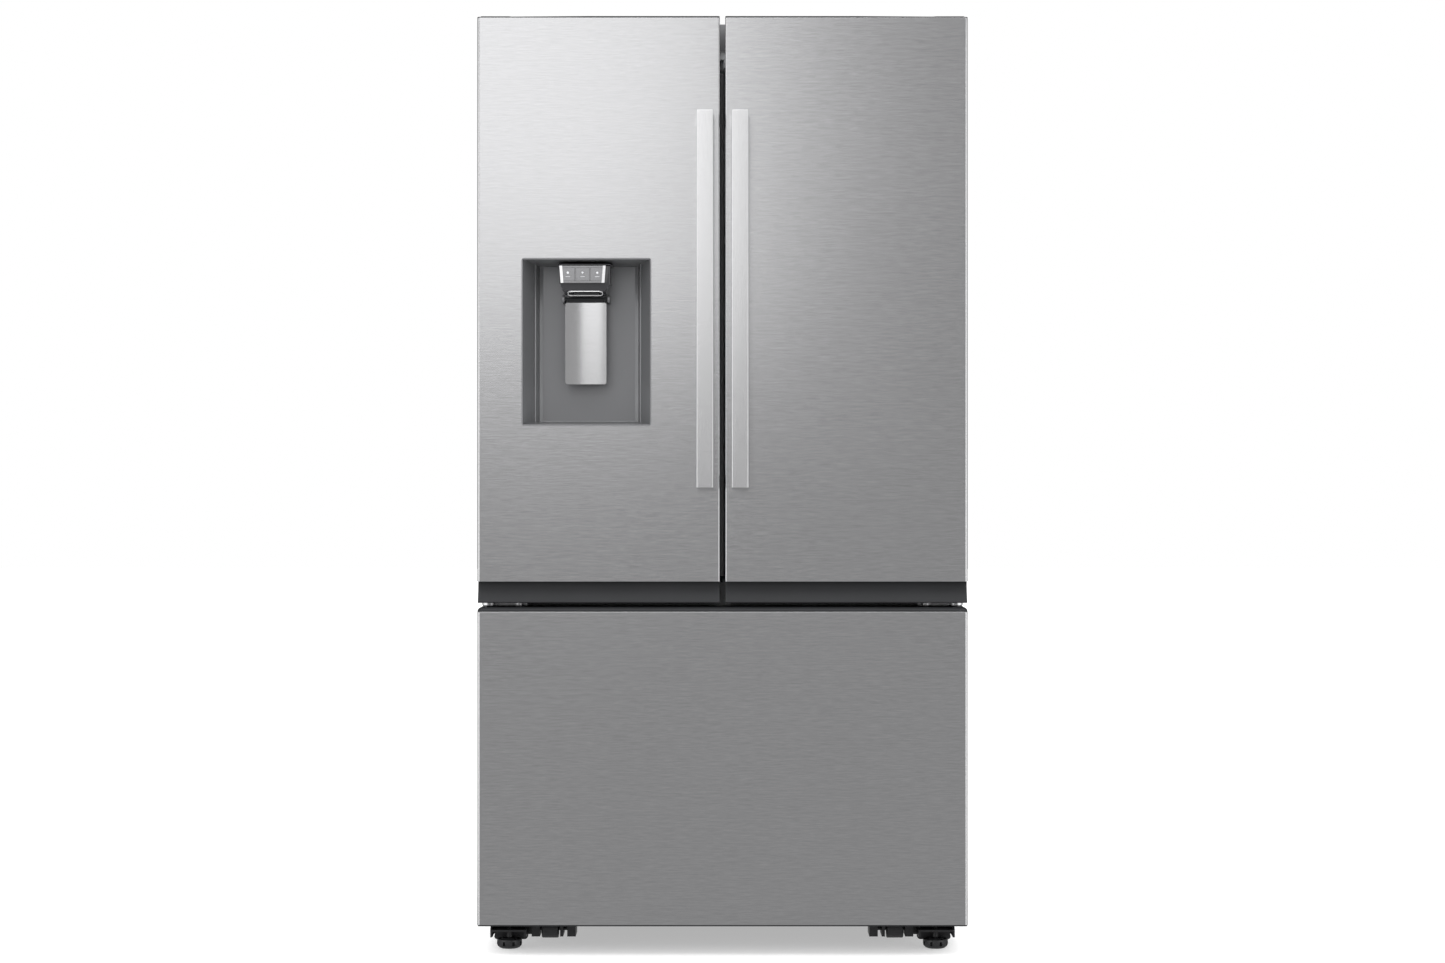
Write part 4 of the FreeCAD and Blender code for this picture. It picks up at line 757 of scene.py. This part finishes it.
# A window for each key, and on each key a small sign over a short bar.
WINDOW_GAP = 0.0003
SIGN_SIDES = (24, 4, 6)
SIGN_RADIUS = 0.0022
SIGN_THICK = 0.0002
SIGN_UP = 0.003
BAR_HALF = 0.004
BAR_Y = (-0.00015, 0.00005)
BAR_Z = (-0.0047, -0.0041)
NUMBERS = (1, 2, 3)
keys = [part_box(f"dispenser_key_{number}") for number in NUMBERS]
for low, high in keys:
    carve(strip, block("window_tool", (low.x - WINDOW_GAP, panel_low.y - 0.01, low.z - WINDOW_GAP),
                       (high.x + WINDOW_GAP, panel_high.y + 0.01, high.z + WINDOW_GAP)))
break_edges(strip, 0.0003)
fit(strip, "left_door", control_steel, "control_satin", "dispenser_panel")
for number, (low, high), sides in zip(NUMBERS, keys, SIGN_SIDES):
    x = (low.x + high.x) / 2
    z = (low.z + high.z) / 2
    bpy.ops.object.select_all(action="DESELECT")
    bpy.ops.mesh.primitive_cylinder_add(vertices=sides, radius=SIGN_RADIUS, depth=SIGN_THICK,
                                        location=(x, low.y - SIGN_THICK / 4, z + SIGN_UP),
                                        rotation=FACING_BACK)
    icon = set_in_place(f"key_{number}_icon", (1, 1, 1))
    fit(icon, f"key_{number}", legend_pale, "control_satin")
    bar = block(f"key_{number}_bar", (x - BAR_HALF, low.y + BAR_Y[0], z + BAR_Z[0]),
                (x + BAR_HALF, low.y + BAR_Y[1], z + BAR_Z[1]))
    fit(bar, f"key_{number}", legend_pale, "control_satin")

# ------------------------------------------------------------------ back of the cabinet
# The flat zinc-coated back has three shallow pressed beads against drumming, and is held, as is the
# machine cover below it, by a row of screws along each edge.

BACK_FACE = 0.4633
BEAD_X = (-0.26, 0.0, 0.26)
BEAD_Z = (0.43, 1.66)
BEAD_HALF = 0.017
BEAD_STAGES = ((0, 0), (0.0030, 0.0035), (0.0042, 0.0075))
SCREW_EDGE = 0.441
SCREW_LEVELS = (0.07, 0.19, 0.31, 0.36, 0.56, 0.76, 0.96, 1.16, 1.36, 1.56, 1.73)
SCREW_ROWS = (0.318, 0.345, 1.730)
ROW_X = (-0.30, -0.15, 0.0, 0.15, 0.30)
SCREW_RADIUS = 0.0046
SCREW_STAGES = ((0, 0), (0.0010, 0), (0.0021, 0.0014), (0.0025, 0.0030))


def from_face(start, stages):
    """Stages counted from a face."""
    return [(start + reach, inset) for reach, inset in stages]


def repeated(piece, moves):
    """A piece and its copies, each moved, as one."""
    copies = [piece]
    for move in moves:
        copy = piece.copy()
        copy.data = piece.data.copy()
        bpy.context.scene.collection.objects.link(copy)
        pick(copy, "FACE", everything)
        bpy.ops.transform.translate(value=move)
        done()
        copies.append(copy)
    return join(*copies)


bead = drawn("back_beads", (BEAD_X[0] - BEAD_HALF, 0, BEAD_Z[0]), (BEAD_X[0] + BEAD_HALF, 0, BEAD_Z[1]),
             1, 0.016, from_face(BACK_FACE, BEAD_STAGES))
beads = repeated(bead, [(x - BEAD_X[0], 0, 0) for x in BEAD_X[1:]])
fit(beads, "cabinet", zinc.material, "zinc_steel")
screw_places = [(side * SCREW_EDGE, z) for side in (-1, 1) for z in SCREW_LEVELS]
screw_places += [(x, z) for z in SCREW_ROWS for x in ROW_X]
first_x, first_z = screw_places[0]
screw = round_piece("back_screws", (first_x, 0, first_z), SCREW_RADIUS, 1, from_face(BACK_FACE, SCREW_STAGES))
screws = repeated(screw, [(x - first_x, 0, z - first_z) for x, z in screw_places[1:]])
fit(screws, "cabinet", plated, "zinc_steel")

# ------------------------------------------------------------------ door seals
# Soft grey magnetic seals: a wide foot pressed into the door's back, a folded neck, and the flat
# strip whose magnet holds to the cabinet.

seal_grey = moulded("seal_grey", (0.17, 0.17, 0.175), 0.55, 0.1, 500.0, 0.06)
SEAL_STAGES = ((0, 0), (0.0030, 0), (0.0035, 0.0030), (0.0065, 0.0035), (0.0070, 0.0010), (0.0115, 0.0008),
               (0.0125, 0.0020), (0.0125, 0.0130), (0.0115, 0.0145), (0.0070, 0.0145), (0.0065, 0.0120),
               (0.0035, 0.0120), (0.0030, 0.0155), (0, 0.0155))
SEAL_CORNER = 0.004
SEALED = (("left_door", "left_door"), ("right_door", "right_door"), ("freezer_door", "freezer_drawer"))
for name, body in SEALED:
    low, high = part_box(f"{name}_gasket")
    seal = drawn(f"{name}_seal", low, high, 1, SEAL_CORNER, from_face(low.y, SEAL_STAGES), True)
    fit(seal, body, seal_grey, "gasket_grey", f"{name}_gasket")

# ------------------------------------------------------------------ liners and foam
# White vacuum-formed liners, cream foam poured between them and the steel, and the bare metal of the
# cooling parts behind.

liner_white = moulded("liner_white", (0.66, 0.67, 0.68), 0.32, 0.04, 500.0, 0.03)
paint(liner_white, "fridge_liner", "freezer_liner", "left_door_liner", "right_door_liner",
      "freezer_door_liner", "evaporator_cover", "ice_maker", "mullion_guide", "shelf_frames")
foam_cream = moulded("foam_cream", (0.62, 0.54, 0.34), 0.8, 0.4, 150.0, 0.15)
paint(foam_cream, "cabinet_insulation", "left_door_insulation", "right_door_insulation",
      "freezer_door_insulation")
fins = moulded("fins", (0.70, 0.71, 0.72), 0.35, 0.1, 400.0, 0.1, metallic=1.0)
paint(fins, "evaporator")
paint(foot_black, "condenser_fan", "evaporator_fan")
brass = moulded("brass", (0.70, 0.52, 0.24), 0.3, 0.1, 500.0, 0.1, metallic=1.0)
paint(brass, "water_valve")

# ------------------------------------------------------------------ fridge fittings
# An air duct cover with rows of slots runs up the back wall. Lit lenses are set in the ceiling and
# down both side walls, and the ice maker's bucket has a moulded front with a finger grip.

DUCT_X = 0.145
DUCT_Z = (0.955, 1.665)
DUCT_Y = 0.3998
DUCT_STAGES = ((0, 0), (-0.009, 0.001), (-0.012, 0.0025), (-0.013, 0.006))
SLOT_ROWS = (1.035, 1.075, 1.275, 1.315, 1.505, 1.545)
SLOT_COLUMNS = (-0.112, -0.056, 0, 0.056, 0.112)
SLOT_SIZE = (0.020, 0.004)
lamp_glow = moulded("lamp_glow", (0.85, 0.86, 0.88), 0.3, 0.01, 500.0, 0.02,
                    emission_color=(0.95, 0.98, 1.0, 1), emission_strength=0.9)
duct = drawn("air_duct_cover", (-DUCT_X, 0, DUCT_Z[0]), (DUCT_X, 0, DUCT_Z[1]), 1, 0.016,
             from_face(DUCT_Y, DUCT_STAGES))
for z in SLOT_ROWS:
    for x in SLOT_COLUMNS:
        slot = block("duct_slot_tool", (x - SLOT_SIZE[0], DUCT_Y - 0.02, z - SLOT_SIZE[1]),
                     (x + SLOT_SIZE[0], DUCT_Y - 0.007, z + SLOT_SIZE[1]))
        soften(slot, lambda e: edge_along(e, 1), 0.0035, 3)
        carve(duct, slot)
fit(duct, "cabinet", liner_white, "liner_white")

CEILING_LAMP = ((-0.14, -0.215, 0), (0.14, -0.135, 0))
CEILING_LAMP_STAGES = ((1.6898, 0), (1.6870, 0.0008), (1.6855, 0.0040))
ceiling_lamp = drawn("ceiling_lamp", *CEILING_LAMP, 2, 0.014, CEILING_LAMP_STAGES)
fit(ceiling_lamp, "cabinet", lamp_glow, "liner_white")
WALL_LAMP_X = (0.3990, 0.4018)
WALL_LAMP_Y = (-0.266, -0.250)
WALL_LAMP_Z = (1.00, 1.63)
for side, name in SIDES:
    lamp = block(f"{name}_wall_lamp", *zip(to_side(side, *WALL_LAMP_X), WALL_LAMP_Y, WALL_LAMP_Z))
    break_edges(lamp, 0.0012, 3)
    fit(lamp, "cabinet", lamp_glow, "liner_white")

BUCKET_STAGES = ((-0.119, 0), (-0.1235, 0.0010), (-0.1250, 0.0040), (-0.1250, 0.0180), (-0.1238, 0.0200))
BUCKET = ((-0.394, 0, 1.449), (-0.208, 0, 1.603))
BUCKET_GRIP = ((-0.335, 0, 1.560), (-0.267, 0, 1.578))
BUCKET_GRIP_STAGES = ((-0.130, 0), (-0.1205, 0.001))
bucket = drawn("ice_bucket_front", *BUCKET, 1, 0.012, BUCKET_STAGES)
carve(bucket, drawn("grip_tool", *BUCKET_GRIP, 1, 0.008, BUCKET_GRIP_STAGES))
fit(bucket, "cabinet", liner_white, "liner_white")

# ------------------------------------------------------------------ glass shelves
# Tempered glass panes lie in white moulded frames that rest on ledges of the liner. Each frame has a
# satin metal nosing snapped along its front.

glass = moulded("shelf_glass", (0.62, 0.76, 0.72), 0.05, 0.01, 200.0, 0.03, alpha=0.36)
paint(glass, "glass_shelves")
shelf_trim = brushed("shelf_trim", (0.66, 0.66, 0.67), 0, 0.28, 0.03)
NOSING_Y = (-0.1738, -0.1690)
NOSING_Z = (0.0006, 0.0136)
LEFT_HALF = (-0.3905, -0.0055)
RIGHT_HALF = (0.0055, 0.3905)
FULL_WIDTH = (-0.3905, 0.3905)
SHELVES = ((LEFT_HALF, 1.190), (RIGHT_HALF, 1.190), (LEFT_HALF, 1.420), (RIGHT_HALF, 1.420),
           (FULL_WIDTH, 0.912))
nosings = []
for span, level in SHELVES:
    nosing = block("shelf_nosings", *zip(span, NOSING_Y, (level + z for z in NOSING_Z)))
    nosings.append(break_edges(nosing, 0.0018, 4))
fit(join(*nosings), "cabinet", shelf_trim, "zinc_steel")

# ------------------------------------------------------------------ crispers
# Two clear moulded drawers, each a tapered tub with a turned rim, a framed front panel and a white
# grip rail.

clear = moulded("clear_plastic", (0.66, 0.73, 0.78), 0.12, 0.02, 300.0, 0.04, alpha=0.40)
CRISPER_STAGES = ((0.0022, 0.012), (0.0050, 0.006), (0.1880, 0.0035), (0.1880, 0.0005), (0.1958, 0.0005),
                  (0.1958, 0.0065), (0.0100, 0.0095), (0.0075, 0.0150))
FRONT_STAGES = ((0.0130, 0), (0.0075, 0), (0.0060, 0.0015), (0.0060, 0.0070), (0.0072, 0.0090))
GRIP_HALF = 0.088
GRIP_THICK = 0.0070
GRIP_DROP = (0.026, 0.004)
for name in ("crisper_left", "crisper_right"):
    low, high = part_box(name)
    mid_x = (low.x + high.x) / 2
    tub = drawn(f"{name}_tub", (low.x + 0.002, low.y + FRONT_STAGES[0][0], 0), (high.x - 0.002, high.y, 0),
                2, 0.012, from_face(low.z, CRISPER_STAGES))
    fit(tub, name, clear, "clear_plastic", name)
    panel = drawn(f"{name}_front", low, high, 1, 0.008, from_face(low.y, FRONT_STAGES))
    fit(panel, name, clear, "clear_plastic")
    rail = block(f"{name}_grip", *zip((mid_x - GRIP_HALF, mid_x + GRIP_HALF), (low.y, low.y + GRIP_THICK),
                                      (high.z - drop for drop in GRIP_DROP)))
    shift(rail, lambda v: near(v.co.y, low.y) and near(v.co.z, high.z - GRIP_DROP[0]), (0, 0.003, 0))
    break_edges(rail, 0.0016, 3)
    fit(rail, name, liner_white, "liner_white")

# ------------------------------------------------------------------ door bins
# Clear moulded bins hang between the ridges of each door's back: three on the right door and two on
# the left, above and below the dispenser. A white rail is snapped round the front of each.

BIN_STAGES = ((0.0, 0.0090), (0.0030, 0.0045), (0.1095, 0.0008), (0.1100, 0.0016), (0.1100, 0.0030),
              (0.1090, 0.0036), (0.0070, 0.0075), (0.0045, 0.0120))
BIN_RAIL_Y = (-0.0085, 0.0010)
BIN_RAIL_Z = (0.078, 0.1115)
BIN_RAIL_SIDE = 0.0012
for name, levels in (("right", (0.744, 1.070, 1.390)), ("left", (0.744, 1.390))):
    low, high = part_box(f"{name}_door_bins")
    trays = []
    rails = []
    for level in levels:
        trays.append(drawn(f"{name}_bin_trays", low, high, 2, 0.012, from_face(level, BIN_STAGES)))
        rail = block(f"{name}_bin_rails", *zip((low.x + BIN_RAIL_SIDE, high.x - BIN_RAIL_SIDE),
                                               (high.y + y for y in BIN_RAIL_Y),
                                               (level + z for z in BIN_RAIL_Z)))
        soften(rail, lambda e: edge_along(e, 2), 0.0045, 4)
        rails.append(break_edges(rail, 0.0016, 3))
    fit(join(*trays), f"{name}_door", clear, "clear_plastic", f"{name}_door_bins")
    fit(join(*rails), f"{name}_door", liner_white, "liner_white")

# ------------------------------------------------------------------ freezer bin and basket
# The drawer carries a deep white bin, and a clear basket slides above it; both are tapered tubs with
# rolled rims. Raised louvres in the cover behind let the cold air in.

TUB_FOOT = ((0.0, 0.012), (0.005, 0.006))
TUB_RIM = ((-0.010, 0.0030), (-0.010, 0.0), (-0.0015, 0.0), (0, 0.0012), (0, 0.0058), (-0.0015, 0.0065))
TUB_FLOOR = ((0.011, 0.0105), (0.008, 0.0160))


def rimmed_tub(name, node):
    """Tapered tub with a rolled rim, in the space of its node."""
    low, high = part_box(node)
    stages = from_face(low.z, TUB_FOOT) + from_face(high.z, TUB_RIM) + from_face(low.z, TUB_FLOOR)
    return drawn(name, low, high, 2, 0.016, stages)


fit(rimmed_tub("freezer_tub", "freezer_bin"), "freezer_drawer", liner_white, "liner_white", "freezer_bin")
fit(rimmed_tub("basket_tub", "freezer_basket"), "freezer_basket", clear, "clear_plastic", "freezer_basket")

LOUVRE_X = (-0.15, 0.15)
LOUVRE_Y = (0.1452, 0.1484)
LOUVRE_Z = (0.440, 0.447)
LOUVRE_STEP = 0.016
LOUVRE_COUNT = 9
louvre = block("freezer_louvres", *zip(LOUVRE_X, LOUVRE_Y, LOUVRE_Z))
shift(louvre, lambda v: near(v.co.y, LOUVRE_Y[0]) and near(v.co.z, LOUVRE_Z[1]), (0, 0.0025, 0))
louvre_moves = [(0, 0, LOUVRE_STEP * step) for step in range(1, LOUVRE_COUNT)]
louvres = repeated(break_edges(louvre, 0.0006), louvre_moves)
fit(louvres, "cabinet", liner_white, "liner_white")

# ------------------------------------------------------------------ studio
# A pale floor in a white room. The steel mirrors two large softboxes high on the left behind the
# camera, a wide box at each side and one above; soft lights overhead and in front fill the rest.

FLOOR_SIZE = 40
FLOOR_MIDDLE = (0, 4, 0)
ROOM_GREY = 0.36
WHITE = (1, 1, 1, 1)

bpy.ops.object.select_all(action="DESELECT")
bpy.ops.mesh.primitive_plane_add(size=FLOOR_SIZE, location=FLOOR_MIDDLE)
floor = bpy.context.object
floor.name = "floor"
pale = Finish("pale_floor", (0.62, 0.62, 0.62), roughness=1.0,
              emission_color=WHITE, emission_strength=0.42)
floor.data.materials.append(pale.material)
floor.visible_glossy = False
floor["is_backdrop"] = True

room = bpy.data.worlds.new("room")
bpy.context.scene.world = room
room.use_nodes = True
grey_room = room.node_tree.nodes["Background"]
grey_room.inputs["Color"].default_value = (ROOM_GREY, ROOM_GREY, ROOM_GREY, 1)
white_room = room.node_tree.nodes.new("ShaderNodeBackground")
white_room.inputs["Color"].default_value = WHITE
ray = room.node_tree.nodes.new("ShaderNodeLightPath")
chosen = room.node_tree.nodes.new("ShaderNodeMixShader")
link = room.node_tree.links.new
link(ray.outputs["Is Camera Ray"], chosen.inputs[0])
link(grey_room.outputs[0], chosen.inputs[1])
link(white_room.outputs[0], chosen.inputs[2])
link(chosen.outputs[0], room.node_tree.nodes["World Output"].inputs["Surface"])


def soft_light(name, place, target, size, radiance, mirrored):
    """Rectangular soft light that faces a point; only a mirrored one shows in shiny surfaces."""
    data = bpy.data.lights.new(name, "AREA")
    data.shape = "RECTANGLE"
    data.size, data.size_y = size
    data.energy = radiance * math.pi * size[0] * size[1]
    lamp = bpy.data.objects.new(name, data)
    bpy.context.scene.collection.objects.link(lamp)
    lamp.location = place
    lamp.rotation_euler = (Vector(target) - Vector(place)).to_track_quat("-Z", "Y").to_euler()
    lamp.visible_camera = False
    lamp.visible_glossy = mirrored


BOX_X = -1.95
BOX_Y = -10.0
BOX_WIDTH = 4.35
for name, z, height, radiance in (("softbox_high", 4.7, 5.4, 1.10), ("softbox_low", 3.6, 4.2, 0.92)):
    soft_light(name, place=(BOX_X, BOX_Y, z), target=(BOX_X, 0, z), size=(BOX_WIDTH, height),
               radiance=radiance, mirrored=True)
for side in (-1, 1):
    soft_light(f"side_box_{side}", place=(side * 8.3, -6.0, 0.9), target=(0, -0.4, 0.9), size=(8.7, 5.4),
               radiance=1.2, mirrored=True)
soft_light("top_box", place=(0, -5.5, 7.5), target=(0, -0.4, 1.0), size=(7, 3.5),
           radiance=2.6, mirrored=True)
soft_light("overhead", place=(0, 10, 7.0), target=(0, 10, 0), size=(60, 60),
           radiance=1.45, mirrored=False)
soft_light("front_fill", place=(0, -6.5, 2.6), target=(0, 0, 0.9), size=(5, 3),
           radiance=1.5, mirrored=False)

# The camera stands square to the doors.
VIEW_DISTANCE = 5.5
VIEW_HEIGHT = 0.880
SEEN_WIDTH = 2.673
camera = bpy.data.objects.new("camera", bpy.data.cameras.new("camera"))
bpy.context.scene.collection.objects.link(camera)
camera.location = (0, front_y - VIEW_DISTANCE, VIEW_HEIGHT)
camera.rotation_euler = (math.pi / 2, 0, 0)
camera.data.lens = camera.data.sensor_width * VIEW_DISTANCE / SEEN_WIDTH
camera.data.clip_end = 200
bpy.context.scene.camera = camera
bpy.context.scene.view_settings.view_transform = "Standard"

new_low, new_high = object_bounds()
